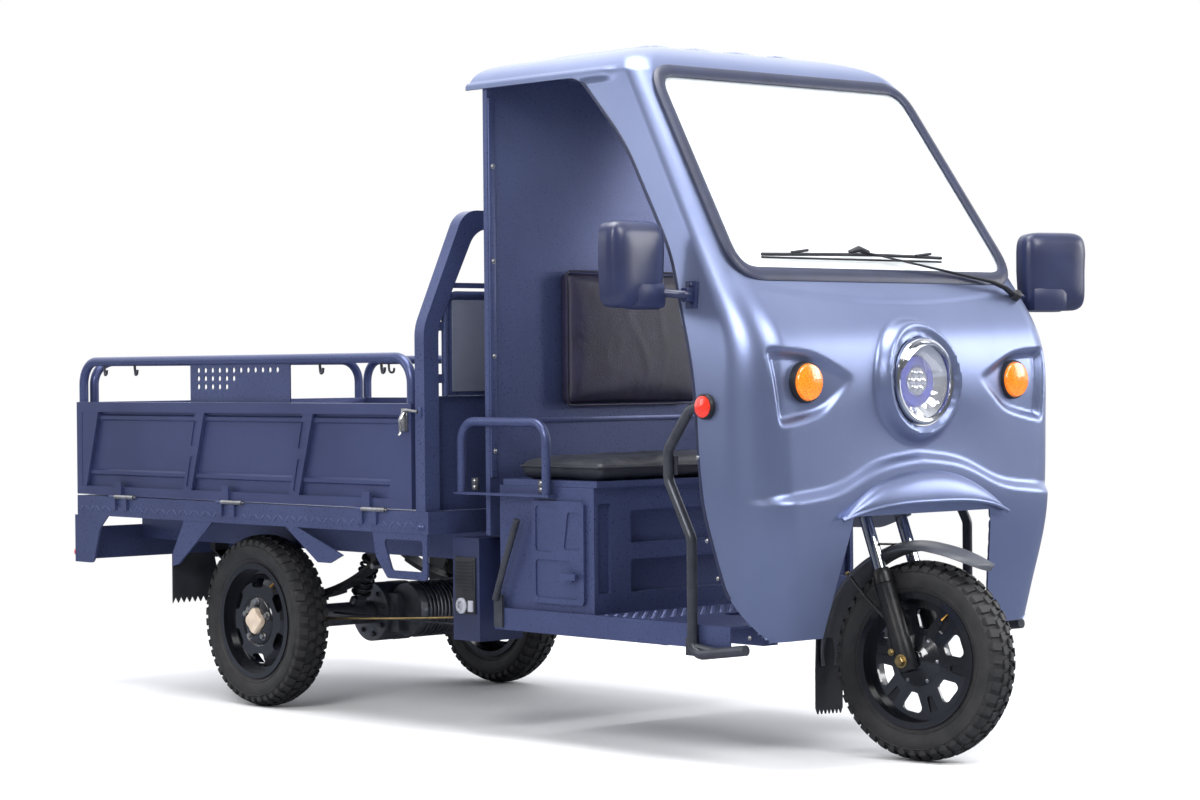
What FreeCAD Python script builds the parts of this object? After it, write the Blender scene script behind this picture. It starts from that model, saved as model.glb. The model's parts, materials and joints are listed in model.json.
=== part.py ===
import FreeCAD, Part
import math
import os
import re
import Sketcher

# An electric cargo tricycle: a cab over a steered front wheel, a drop-side bed over a rear axle.
# Millimetres. +X forward, +Y to the driver's left, +Z up. Sketches count X from the rear axle and
# Z from the ground; each sub-part's Placement then moves the origin to the middle of the length.

V = FreeCAD.Vector
Rotation = FreeCAD.Rotation
Placement = FreeCAD.Placement

SIZES = {
    # running gear
    "wheelBase": 2160, "rearTrack": 885, "lengthMiddle": 773.5,
    "rearTyreDia": 500, "rearTyreWidth": 105, "frontTyreDia": 495, "frontTyreWidth": 98,
    "rimDia": 312, "flangeDia": 336, "rimWidth": 84, "rimWall": 4, "slotCount": 6, "spokeCount": 6,
    "drumReach": 40,
    # steering, in a frame whose upright runs along the raked steering axis
    "rakeAngle": 21, "restSteer": 9, "forkOffset": 45, "legSpacing": 160, "sliderRadius": 22,
    "stanchionRadius": 15, "sliderLength": 232, "crownLow": 392, "crownHigh": 628, "crownThickness": 34,
    "axleRadius": 10, "axlePlay": 0.05, "stemRadius": 15, "headTubeRadius": 30, "headLow": 411, "headHigh": 620, "bearingGap": 0.5,
    "barHeight": 905, "barHalfWidth": 335, "barSweep": 118, "barRadius": 11, "gripRadius": 16,
    "guardRadius": 288, "guardHalfWidth": 54, "guardSkin": 4,
    # ladder frame
    "tyreRailGap": 35, "railWidth": 50, "railBase": 457, "railTop": 537, "railRear": -790, "railFront": 1100,
    "memberWidth": 40, "floorRailBase": 294, "floorRailTop": 344.7, "floorRailFront": 1960, "postWidth": 40,
    "wellRear": 1690, "wellHalfWidth": 250, "seatGap": 0.3,
    # cab floor and seat box
    "floorTop": 351, "floorPlate": 6, "floorRear": 1103, "floorFront": 1985, "floorHalfWidth": 493,
    "sillBase": 294, "sillWall": 4, "boxRear": 1110, "boxFront": 1480, "boxHalfWidth": 478, "boxTop": 672,
    "boxWall": 15, "shelfHalf": 352, "shelfBase": 402, "shelfTop": 612, "shelfTall": 84, "shelfDepth": 36,
    "doorRear": 1249, "doorFront": 1450, "doorBase": 372, "doorTop": 636, "doorThickness": 9,
    "lidThickness": 16, "lidRear": 1125, "cushionRear": 1155, "cushionFront": 1492, "cushionHalfWidth": 466,
    "cushionHeight": 60, "armrestSide": 497, "armrestRadius": 12, "armrestTop": 838, "armrestRear": 976,
    "armrestFront": 1319, "armrestBase": 645,
    # rear wall and cab shell
    "wallRear": 1058, "wallThickness": 17, "wallHalfWidth": 482,
    "backrestHalfWidth": 250, "backrestBase": 870, "backrestTop": 1244, "backrestDepth": 60,
    "shellSkin": 6, "cabBack": 1006, "shellBase": 318, "sillFront": 2108, "sillHalf": 515, "sillCorner": 105,
    "chinHeight": 640, "chinFront": 2156, "chinHalf": 556, "chinCorner": 120,
    "noseHeight": 850, "noseFront": 2152, "noseHalf": 566, "noseCorner": 120,
    "browHeight": 1060, "browFront": 2126, "browHalf": 559, "browCorner": 105,
    "cowlHeight": 1190, "cowlFront": 2034, "cowlHalf": 546, "cowlCorner": 78,
    "eaveHeight": 1722, "eaveFront": 1676, "eaveHalf": 490, "eaveCorner": 60,
    "archTop": 612, "archHalfTop": 250, "archHalfBase": 305,
    "glassThickness": 5, "glassLowHeight": 1203, "glassHighHeight": 1709, "glassLowHalf": 494,
    "glassHighHalf": 445, "glassCorner": 62, "sealWidth": 22, "sealDepth": 10,
    "lampHeight": 937, "lampRadius": 110, "lampRingRadius": 152, "lampFace": 2172, "lampDepth": 56,
    "signalSide": 380, "signalRadius": 30, "signalHeight": 938, "markerRadius": 17, "markerHeight": 882,
    "markerPlace": 1985, "visorTop": 700, "visorBase": 612, "visorHalf": 303, "visorFront": 2204,
    "visorSkin": 8,
    # bed
    "bedRear": -824, "bedFront": 920, "bedHalfWidth": 568, "bedTop": 598, "bedPlate": 8, "skirtWall": 6,
    "sideTop": 886, "sideThickness": 34, "sideSkin": 4, "sideFront": 850, "hingeGap": 4,
    "hingeOut": 6, "knuckleRadius": 5, "knuckleLength": 34,
    "tubeRadius": 14, "rackHeight": 1010, "rackInset": 16, "rackBend": 70,
    "hoopRear": 868, "hoopDepth": 40, "hoopWidth": 50, "hoopKnee": 1090, "hoopTop": 1405,
    "hoopShoulder": 425, "bulkheadTop": 905, "guardTop": 1178, "guardHalf": 487, "guardTube": 9,
    "crossbarHeight": 1202,
}

doc = FreeCAD.newDocument("CargoTricycle")
sheet = doc.addObject("Spreadsheet::Sheet", "Sizes")
for row, (word, value) in enumerate(SIZES.items(), 1):
    sheet.set(f"A{row}", word)
    sheet.set(f"B{row}", str(value))
    sheet.setAlias(f"B{row}", word)
doc.recompute()

# The rails stand inside the rear tyres
RAIL_SPACING = "(rearTrack - rearTyreWidth - 2*tyreRailGap - railWidth)"
PLANES = {"XY": "XY_Plane", "XZ": "XZ_Plane", "YZ": "YZ_Plane"}
nodes = {}


def linked(text):
    """Points each size named in an expression at its cell in the sheet."""
    return re.sub(r"[A-Za-z]\w*", lambda m: "Sizes." + m[0] if m[0] in SIZES else m[0], str(text))


def size(text):
    """Value of an expression of the sheet's sizes."""
    result = sheet.evalExpression(linked(text).replace("Sizes.", ""))
    return float(getattr(result, "Value", result))


def bind(item, name, text):
    item.setExpression(name, linked(text))


def spot(*texts):
    return V(*(size(text) for text in texts))


def node(label, item, shifted=False):
    """Names a finished sub-part and brings it to the frame's origin."""
    item.Label = label
    nodes[label] = item
    if not shifted:
        own = [text for name, text in item.ExpressionEngine if name.strip(".") == "Placement.Base.x"]
        item.setExpression("Placement.Base.x", " ".join(own) + " - Sizes.lengthMiddle")
    return item


def steered(label, item):
    """Names a sub-part drawn in the steering frame and turns it to the rest position."""
    item.Label = label
    nodes[label] = item
    item.Placement = steering_placement()
    return item


def steering_placement():
    rake = size("rakeAngle")
    back = size("forkOffset")
    tilt = Rotation(V(0, 1, 0), -rake)
    axle = V(size("wheelBase - lengthMiddle"), 0, size("frontTyreDia/2"))
    return Placement(axle - tilt.multVec(V(back, 0, 0)), tilt * Rotation(V(0, 0, 1), size("restSteer")))


# Sketches: an outline is a list of corners (across, up) or (across, up, radius)

def outline(body, name, plane, corners, level):
    sketch = body.newObject("Sketcher::SketchObject", name)
    origin = next(f for f in body.Origin.OriginFeatures if f.Role == PLANES[plane])
    sketch.AttachmentSupport = [(origin, "")]
    sketch.MapMode = "FlatFace"
    bind(sketch, "AttachmentOffset.Base.z", level)
    sharp = [V(size(c[0]), size(c[1]), 0) for c in corners]
    radii = [size(c[2]) if len(c) > 2 else 0 for c in corners]
    count = len(corners)
    ends = []
    for i, corner in enumerate(sharp):
        back = (sharp[i - 1] - corner).normalize()
        ahead = (sharp[(i + 1) % count] - corner).normalize()
        run = radii[i] / math.tan(back.getAngle(ahead) / 2) if radii[i] else 0
        ends.append((corner + back * run, corner + ahead * run))
    lines = [sketch.addGeometry(Part.LineSegment(ends[i][1], ends[(i + 1) % count][0]), False)
             for i in range(count)]

    def fix(geometry, point, corner, tag):
        for axis, kind in enumerate(("DistanceX", "DistanceY")):
            value = sharp[tag].x if axis == 0 else sharp[tag].y
            number = sketch.addConstraint(Sketcher.Constraint(kind, -1, 1, geometry, point, value))
            sketch.renameConstraint(number, f"{'uv'[axis]}{tag}")
            sketch.setExpression(f"Constraints.{'uv'[axis]}{tag}", linked(corner[axis]))

    for i, corner in enumerate(corners):
        before, after = lines[i - 1], lines[i]
        if not radii[i]:
            sketch.addConstraint(Sketcher.Constraint("Coincident", before, 2, after, 1))
            fix(after, 1, corner, i)
            continue
        back = (sharp[i - 1] - sharp[i]).normalize()
        ahead = (sharp[(i + 1) % count] - sharp[i]).normalize()
        middle = (back + ahead).normalize()
        centre = sharp[i] + middle * (radii[i] / math.sin(back.getAngle(ahead) / 2))
        top = centre - middle * radii[i]
        leftward = back.cross(ahead).z < 0
        first, last = (1, 2) if leftward else (2, 1)
        rim = Part.Arc(*((ends[i][0], top, ends[i][1]) if leftward else (ends[i][1], top, ends[i][0])))
        arc = sketch.addGeometry(rim, False)
        sketch.addConstraint(Sketcher.Constraint("Tangent", before, 2, arc, first))
        sketch.addConstraint(Sketcher.Constraint("Tangent", arc, last, after, 1))
        number = sketch.addConstraint(Sketcher.Constraint("Radius", arc, radii[i]))
        sketch.renameConstraint(number, f"r{i}")
        sketch.setExpression(f"Constraints.r{i}", linked(corner[2]))
        point = sketch.addGeometry(Part.Point(sharp[i]), True)
        sketch.addConstraint(Sketcher.Constraint("PointOnObject", point, 1, before))
        sketch.addConstraint(Sketcher.Constraint("PointOnObject", point, 1, after))
        fix(point, 1, corner, i)
    return sketch


def disc_outline(body, name, plane, across, up, radius, level):
    sketch = body.newObject("Sketcher::SketchObject", name)
    origin = next(f for f in body.Origin.OriginFeatures if f.Role == PLANES[plane])
    sketch.AttachmentSupport = [(origin, "")]
    sketch.MapMode = "FlatFace"
    bind(sketch, "AttachmentOffset.Base.z", level)
    centre = V(size(across), size(up), 0)
    circle = sketch.addGeometry(Part.Circle(centre, V(0, 0, 1), size(radius)), False)
    for kind, name, value, text in (("DistanceX", "u", centre.x, across), ("DistanceY", "v", centre.y, up)):
        number = sketch.addConstraint(Sketcher.Constraint(kind, -1, 1, circle, 3, value))
        sketch.renameConstraint(number, name)
        sketch.setExpression(f"Constraints.{name}", linked(text))
    number = sketch.addConstraint(Sketcher.Constraint("Radius", circle, size(radius)))
    sketch.renameConstraint(number, "r")
    sketch.setExpression("Constraints.r", linked(radius))
    return sketch


def shape_between(body, plane, drawing, low, high, removes=False):
    """Adds or removes a prism between two levels of the axis across the plane."""
    name = f"{body.Name}_{'pocket' if removes else 'pad'}{len(body.Group)}"
    from_high = (plane == "XZ") != removes
    level = f"-({high if not removes else low})" if plane == "XZ" else (high if from_high else low)
    if isinstance(drawing, dict):
        sketch = disc_outline(body, name + "_sketch", plane, level=level, **drawing)
    else:
        sketch = outline(body, name + "_sketch", plane, drawing, level)
    feature = body.newObject("PartDesign::Pocket" if removes else "PartDesign::Pad", name)
    feature.Profile = sketch
    bind(feature, "Length", f"({high}) - ({low})")
    return feature


def new_body(name):
    body = doc.addObject("PartDesign::Body", name)
    body.AllowCompound = True
    return body


def prism(name, plane, drawing, low, high):
    body = new_body(name)
    shape_between(body, plane, drawing, low, high)
    return body


def turned(name, corners, across="0"):
    """Revolves an outline (along the axle, radius) about a line along Y."""
    body = new_body(name)
    sketch = outline(body, name + "_section", "YZ", corners, across)
    feature = body.newObject("PartDesign::Revolution", name + "_turn")
    feature.Profile = sketch
    feature.ReferenceAxis = (sketch, ["H_Axis"])
    feature.Angle = 360
    return body


def block(name, low, high):
    """A box between two corners, each a triple of expressions."""
    item = doc.addObject("Part::Box", name)
    for axis, side, a, b in zip("xyz", ("Length", "Width", "Height"), low, high):
        bind(item, side, f"({b}) - ({a})")
        bind(item, f"Placement.Base.{axis}", a)
    return item


def rod(name, axis, radius, low, high, across, up):
    """A cylinder along one axis; across and up are its place on the other two, in X, Y, Z order."""
    item = doc.addObject("Part::Cylinder", name)
    bind(item, "Radius", radius)
    bind(item, "Height", f"({high}) - ({low})")
    turn = {"x": Rotation(V(0, 1, 0), 90), "y": Rotation(V(1, 0, 0), -90), "z": Rotation()}[axis]
    item.Placement = Placement(V(), turn)
    others = [a for a in "xyz" if a != axis]
    bind(item, f"Placement.Base.{axis}", low)
    bind(item, f"Placement.Base.{others[0]}", across)
    bind(item, f"Placement.Base.{others[1]}", up)
    return item


def joined(name, items):
    item = doc.addObject("Part::MultiFuse", name)
    item.Shapes = items
    return item


def grouped(name, items):
    item = doc.addObject("Part::Compound", name)
    item.Links = items
    return item


def cut(name, base, tool):
    item = doc.addObject("Part::Cut", name)
    item.Base = base
    item.Tool = tool
    return item


def mirrored(name, source):
    """The same piece on the other side of the vehicle."""
    item = doc.addObject("Part::Mirroring", name)
    item.Source = source
    item.Normal = V(0, 1, 0)
    return item


def both_sides(name, source):
    return grouped(name, [source, mirrored(name + "_mirror", source)])


def formed(name, shape):
    item = doc.addObject("Part::Feature", name)
    item.Shape = shape
    return item


def bent_path(points, bend):
    """Straight runs joined by tangent arcs."""
    edges = []
    start = points[0]
    for before, corner, after in zip(points, points[1:], points[2:]):
        back = (before - corner).normalize()
        ahead = (after - corner).normalize()
        half = back.getAngle(ahead) / 2
        run = bend / math.tan(half)
        middle = (back + ahead).normalize()
        centre = corner + middle * (bend / math.sin(half))
        first, last = corner + back * run, corner + ahead * run
        if start.distanceToPoint(first) > 1e-3:
            edges.append(Part.LineSegment(start, first).toShape())
        edges.append(Part.Arc(first, centre - middle * bend, last).toShape())
        start = last
    edges.append(Part.LineSegment(start, points[-1]).toShape())
    return Part.Wire(edges)


def bent_tube(name, points, radius, bend):
    """A round tube along points given as triples of expressions."""
    path = bent_path([spot(*p) for p in points], size(bend))
    start = path.Edges[0].firstVertex().Point
    along = path.Edges[0].tangentAt(path.Edges[0].FirstParameter)
    ring = Part.Wire([Part.Circle(start, along, size(radius)).toShape()])
    return formed(name, path.makePipeShell([ring], True, False))


# Wheels: tyre and rim sections are (along the axle, radius) from the wheel's centre

def tyre(name, diameter, width, crown):
    wide, tall, bead = f"{width}/2", f"{diameter}/2", "rimDia/2 + seatGap"
    seat = "rimWidth/2 - seatGap"
    side = [(seat, "flangeDia/2 + 4"), (wide, f"{bead} + ({tall} - {bead})*0.5"),
            (f"{wide} - 5", f"{tall} - {crown}"), (f"{wide}*0.45", f"{tall} - 1.2")]
    other = [(f"-({across})", radius) for across, radius in reversed(side)]
    return turned(name, [(f"-({seat})", bead), (seat, bead)] + side + [("0", tall)] + other)


def rim_barrel(name):
    inner = "rimDia/2 - rimWall"
    half = "rimWidth/2"
    section = [(f"-({half}) - rimWall", inner), (f"{half} + rimWall", inner),
               (f"{half} + rimWall", "flangeDia/2"), (half, "flangeDia/2"), (half, "rimDia/2"),
               (f"-({half})", "rimDia/2"), (f"-({half})", "flangeDia/2"),
               (f"-({half}) - rimWall", "flangeDia/2")]
    return turned(name, section)


def rear_rim(name):
    """Pressed steel wheel: dished disc with slots, hub flange, wheel bolts and brake drum."""
    disc = turned(name + "_disc", [("-14", "0"), ("-34", "0"), ("-34", "30"), ("-24", "34"), ("-20", "58"),
                                   ("-31", "76"), ("-31", "112"), ("-14", "136"),
                                   ("-14", "rimDia/2 - rimWall + 1"), ("-8", "rimDia/2 - rimWall + 1"),
                                   ("-8", "134"), ("-25", "110"), ("-25", "78"), ("-14", "60")])
    slot = prism(name + "_slot", "XZ", [("-30", "96", 11), ("30", "96", 11), ("24", "124", 11), ("-24", "124", 11)],
                 "-60", "20")
    slots = ring_of(name + "_slots", slot, "slotCount")
    drum = rod(name + "_drum", "y", "92", "-14.5", "drumReach", "0", "0")
    bolts = [rod(f"{name}_bolt{n}", "y", "7", "-38", "-15", f"46*sin({n}*72)", f"46*cos({n}*72)") for n in range(5)]
    cap = rod(name + "_cap", "y", "24", "-44", "-30", "0", "0")
    return joined(name, [rim_barrel(name + "_barrel"), cut(name + "_pierced", disc, slots), drum, cap] + bolts)


def ring_of(name, item, count):
    """Copies of one piece spaced evenly round the Y axis."""
    copies = []
    total = int(size(count))
    for n in range(total):
        copy = doc.addObject("Part::Feature", f"{name}{n}")
        copies.append((copy, n))
    doc.recompute()
    for copy, n in copies:
        shape = item.Shape.copy()
        shape.rotate(V(), V(0, 1, 0), 360 * n / total)
        copy.Shape = shape
    return grouped(name, [copy for copy, n in copies])


def fan(corners, degrees):
    """Corners of an outline turned about the axle."""
    c, s = math.cos(math.radians(degrees)), math.sin(math.radians(degrees))
    return [(f"{x*c + z*s:.2f}", f"{z*c - x*s:.2f}", radius) for x, z, radius in corners]


WINDOW = ((-11, 80, 7), (11, 80, 7), (37, 128, 13), (-37, 128, 13))
SPOKE_GROOVE = ((-8, 92, 3), (8, 92, 3), (12, 132, 3), (-12, 132, 3))


def front_rim(name):
    """Pressed wheel: a dished disc whose windows leave grooved spokes, and a drum hub."""
    hub = turned(name + "_hub", [("-42", "0"), ("-42", "26"), ("-36", "38"), ("-27", "64"), ("6", "64"), ("30", "58"),
                                 ("34", "52"), ("34", "0")])
    disc = turned(name + "_disc", [("-29", "40"), ("-25", "84"), ("-20", "rimDia/2 - rimWall + 1"),
                                   ("-12", "rimDia/2 - rimWall + 1"), ("-15", "84"), ("-15", "40")])
    window = prism(name + "_window", "XZ", fan(WINDOW, 30), "-60", "-5")
    groove = prism(name + "_groove", "XZ", fan(SPOKE_GROOVE, 0), "-60", "-19")
    cuts = grouped(name + "_cuts", [ring_of(name + "_windows", window, "spokeCount")])
    pierced = cut(name + "_pierced", disc, cuts)
    grooved = cut(name + "_grooved", pierced, ring_of(name + "_grooves", groove, "spokeCount"))
    wheel = joined(name + "_solid", [rim_barrel(name + "_barrel"), hub, grooved])
    return cut(name, wheel, rod(name + "_bore", "y", "axleRadius + axlePlay", "-60", "60", "0", "0"))


def build_wheels():
    right = {"rear_tyre": tyre("RearTyre", "rearTyreDia", "rearTyreWidth", 14), "rear_rim": rear_rim("RearRim")}
    for word, item in right.items():
        node(f"{word}_right", item)
        bind(item, "Placement.Base.y", "-rearTrack/2")
        bind(item, "Placement.Base.z", "rearTyreDia/2")
        node(f"{word}_left", mirrored(word + "_left", item), shifted=True)
    for word, item in {"front_tyre": tyre("FrontTyre", "frontTyreDia", "frontTyreWidth", 18),
                       "front_rim": front_rim("FrontRim")}.items():
        item.Label = word
        nodes[word] = item
        rest = steering_placement()
        item.Placement = Placement(rest.multVec(V(size("forkOffset"), 0, 0)), rest.Rotation)


# Steering: X is ahead of the steering axis, Z along it from the foot of the axle's perpendicular

def build_steering():
    side = "legSpacing/2"
    plate = [("-34", f"-({side}) - 24", 20), ("forkOffset + 26", f"-({side}) - 24", 20),
             ("forkOffset + 26", f"{side} + 24", 20), ("-34", f"{side} + 24", 20)]
    pieces = [prism("LowerCrown", "XY", plate, "crownLow - crownThickness/2", "crownLow + crownThickness/2"),
              prism("UpperCrown", "XY", plate, "crownHigh + bearingGap", "crownHigh + bearingGap + 22"),
              rod("Stem", "z", "stemRadius", "crownLow", "barHeight - 90", "0", "0"),
              rod("FrontAxle", "y", "axleRadius", f"-({side}) - 30", f"{side} + 30", "forkOffset", "0")]
    for word, y in (("Right", f"-({side})"), ("Left", side)):
        pieces.append(rod(f"Slider{word}", "z", "sliderRadius", "-24", "sliderLength", "forkOffset", y))
        pieces.append(rod(f"Stanchion{word}", "z", "stanchionRadius", "sliderLength - 5", "crownHigh + 30",
                          "forkOffset", y))
    steered("front_fork", joined("FrontFork", pieces))

    clamp = block("BarClamp", ("-20", "-45", "barHeight - 89"), ("24", "45", "barHeight - 55"))
    riser_top = "barHeight - 10"
    halves = [clamp]
    for word, sign in (("Right", "-1"), ("Left", "1")):
        route = [("6", f"{sign}*5", "barHeight - 72"), ("6", f"{sign}*95", "barHeight - 72"),
                 ("-30", f"{sign}*185", riser_top), ("-barSweep", f"{sign}*barHalfWidth", "barHeight")]
        halves.append(bent_tube(f"Bar{word}", route, "barRadius", "45"))
        start, end = spot(*route[2]), spot(*route[3])
        along = (end - start).normalize()
        grip = Part.makeCylinder(size("gripRadius"), 118, end - along * 116, along)
        halves.append(formed(f"Grip{word}", grip))
    steered("handlebar", joined("Handlebar", halves))

    outer, inner = "guardRadius", "guardRadius - guardSkin"
    hoop = Part.makeCylinder(size(outer), size("2*guardHalfWidth"), V(0, -size("guardHalfWidth"), 0), V(0, 1, 0))
    bore = Part.makeCylinder(size(inner), size("2*guardHalfWidth"), V(0, -size("guardHalfWidth"), 0), V(0, 1, 0))
    ring = hoop.cut(bore)
    # The guard covers the wheel from ahead of the top to low behind
    wedge = Part.Face(Part.makePolygon([V(), V(600, 0, 470), V(600, 0, 900), V(-900, 0, 900), V(-900, 0, -60), V()]))
    wedge.translate(V(0, -200, 0))
    ring = ring.common(wedge.extrude(V(0, 400, 0)))
    reach = size("legSpacing/2 - stanchionRadius - seatGap")
    lean = size("rakeAngle")
    stay = Part.makeBox(26, 2 * reach, 5, V(-13, -reach, size("guardRadius") - 1))
    stay.rotate(V(), V(0, 1, 0), -lean)
    guard = ring.fuse(stay)
    flap = Part.makeBox(5, size("2*guardHalfWidth"), 190, V(-size("guardRadius") - 2, -size("guardHalfWidth"), -150))
    level = Placement(V(size("forkOffset"), 0, 0), Rotation(V(0, 1, 0), lean))
    guard = guard.fuse(flap).removeSplitter().transformed(level.toMatrix(), copy=True)
    steered("front_mudguard", formed("FrontMudguard", guard))


# Ladder frame under bed and cab, with the beam up to the head tube

def build_frame():
    inner, outer = f"{RAIL_SPACING}/2 - railWidth/2", f"{RAIL_SPACING}/2 + railWidth/2"
    pieces = []
    for word, a, b in (("Right", f"-({outer})", f"-({inner})"), ("Left", inner, outer)):
        pieces.append(block(f"Rail{word}", ("railRear", a, "railBase"), ("railFront", b, "railTop")))
        pieces.append(block(f"Post{word}", ("railFront - postWidth", a, "floorRailBase"), ("railFront", b, "railBase")))
        pieces.append(block(f"FloorRail{word}", ("railFront - postWidth", a, "floorRailBase"),
                            ("floorRailFront", b, "floorRailTop")))
    for n, x in enumerate(("railRear + 10", "-430", "-60", "330", "700", "railFront - memberWidth")):
        pieces.append(block(f"Member{n}", (x, f"-({inner})", "railBase + 15"),
                            (f"{x} + memberWidth", inner, "railTop")))
    for n, x in enumerate(("railFront - memberWidth", "1400", "wellRear - memberWidth/2")):
        pieces.append(block(f"FloorMember{n}", (x, f"-({inner})", "floorRailBase"),
                            (f"{x} + memberWidth", inner, "floorRailTop")))
    frame = steering_frame()
    low = spot("wellRear + 28", "0", "floorRailBase + 26")
    high = frame.multVec(V(0, 0, size("headLow + 100")))
    along = (high - low).normalize()
    across = along.cross(V(0, 1, 0)) * 30
    beam = Part.Face(Part.makePolygon([low - across, high - across, high + across, low + across, low - across]))
    beam.translate(V(0, -28, 0))
    beam = beam.extrude(V(0, 56, 0))
    axis = frame.Rotation.multVec(V(0, 0, 1))
    foot = frame.multVec(V(0, 0, size("headLow")))
    tall = size("headHigh - headLow")
    beam = beam.fuse(Part.makeCylinder(size("headTubeRadius"), tall, foot, axis))
    beam = beam.cut(Part.makeCylinder(size("stemRadius + seatGap"), tall + 40, foot - axis * 20, axis))
    pieces.append(formed("Beam", beam))
    node("chassis_frame", joined("ChassisFrame", pieces))


def steering_frame():
    """Placement of the unsteered steering frame in the sketches' coordinates."""
    tilt = Rotation(V(0, 1, 0), -size("rakeAngle"))
    axle = V(size("wheelBase"), 0, size("frontTyreDia/2"))
    return Placement(axle - tilt.multVec(V(size("forkOffset"), 0, 0)), tilt)


# Rear axle and suspension

def build_rear_axle():
    z = "rearTyreDia/2"
    reach = "rearTrack/2 - drumReach - bearingGap"
    axle = [rod("AxleTube", "y", "34", f"-({reach}) + 2", f"{reach} - 2", "0", z),
            rod("DifferentialCase", "y", "88", "-62", "70", "0", z),
            block("GearCase", ("0", "-50", f"{z} - 55"), ("120", "50", f"{z} + 60")),
            rod("Motor", "y", "78", "-30", "190", "130", f"{z} + 12"),
            block("PadRight", ("-45", f"-{RAIL_SPACING}/2 - 25", f"{z} + 20"),
                  ("45", f"-{RAIL_SPACING}/2 + 25", f"{z} + 46.7")),
            block("PadLeft", ("-45", f"{RAIL_SPACING}/2 - 25", f"{z} + 20"),
                  ("45", f"{RAIL_SPACING}/2 + 25", f"{z} + 46.7"))]
    for word, a, b in (("Right", f"-({reach})", f"-({reach}) + 7"), ("Left", f"{reach} - 7", reach)):
        axle.append(rod(f"BackPlate{word}", "y", "94", a, b, "0", z))
    node("rear_axle", joined("RearAxle", axle))

    springs = []
    low = size("rearTyreDia/2 + 47")
    leaf = 7
    for word, side in (("Right", -1), ("Left", 1)):
        y = side * size(f"{RAIL_SPACING}/2")
        centre = V(0, y - 25, low + 3 * leaf + 760)
        stack = None
        for n, reach_x in enumerate((400, 300, 210, 120)):
            band = Part.makeCylinder(760 + n * leaf, 50, centre, V(0, 1, 0))
            band = band.cut(Part.makeCylinder(753 + n * leaf, 50, centre, V(0, 1, 0)))
            band = band.common(Part.makeBox(2 * reach_x, 60, 300, V(-reach_x, y - 30, low - 1)))
            stack = band if stack is None else stack.fuse(band)
        for x in (-400, 400):
            rise = low + 3 * leaf + 760 - math.sqrt(760 ** 2 - 400 ** 2)
            hanger = Part.makeBox(24, 50, size("railBase - seatGap") - rise - 2, V(x - 12, y - 25, rise + 2))
            stack = stack.fuse(hanger)
        springs.append(formed(f"Spring{word}", stack))
    node("rear_springs", grouped("RearSprings", springs))


# Cab floor, seat box and what stands on them

def build_floor():
    half, well = "floorHalfWidth", "wellHalfWidth"
    body = prism("FloorPan", "XY", [("floorRear", f"-({half})"), ("floorFront", f"-({half})"),
                                    ("floorFront", f"-({well})"), ("wellRear", f"-({well})", 40),
                                    ("wellRear", well, 40), ("floorFront", well), ("floorFront", half),
                                    ("floorRear", half)], "floorTop - floorPlate", "floorTop")
    for a, b in ((f"-({half})", f"-({half}) + sillWall"), (f"{half} - sillWall", half)):
        shape_between(body, "XY", [("floorRear", a), ("floorFront", a), ("floorFront", b), ("floorRear", b)],
                      "sillBase", "floorTop - floorPlate + 1")
    node("floor_pan", body)


# Pressed fields of the battery door, from its lower rear corner: along, up, corner radius
DOOR_PRESSINGS = (((14, 132, 10), (84, 132, 10), (100, 190, 30), (104, 250, 10), (14, 250, 10)),
                  ((124, 140, 8), (184, 140, 8), (184, 236, 8), (140, 236, 8)),
                  ((14, 14, 12), (186, 14, 12), (178, 52, 14), (150, 112, 14), (14, 112, 12)))


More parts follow.
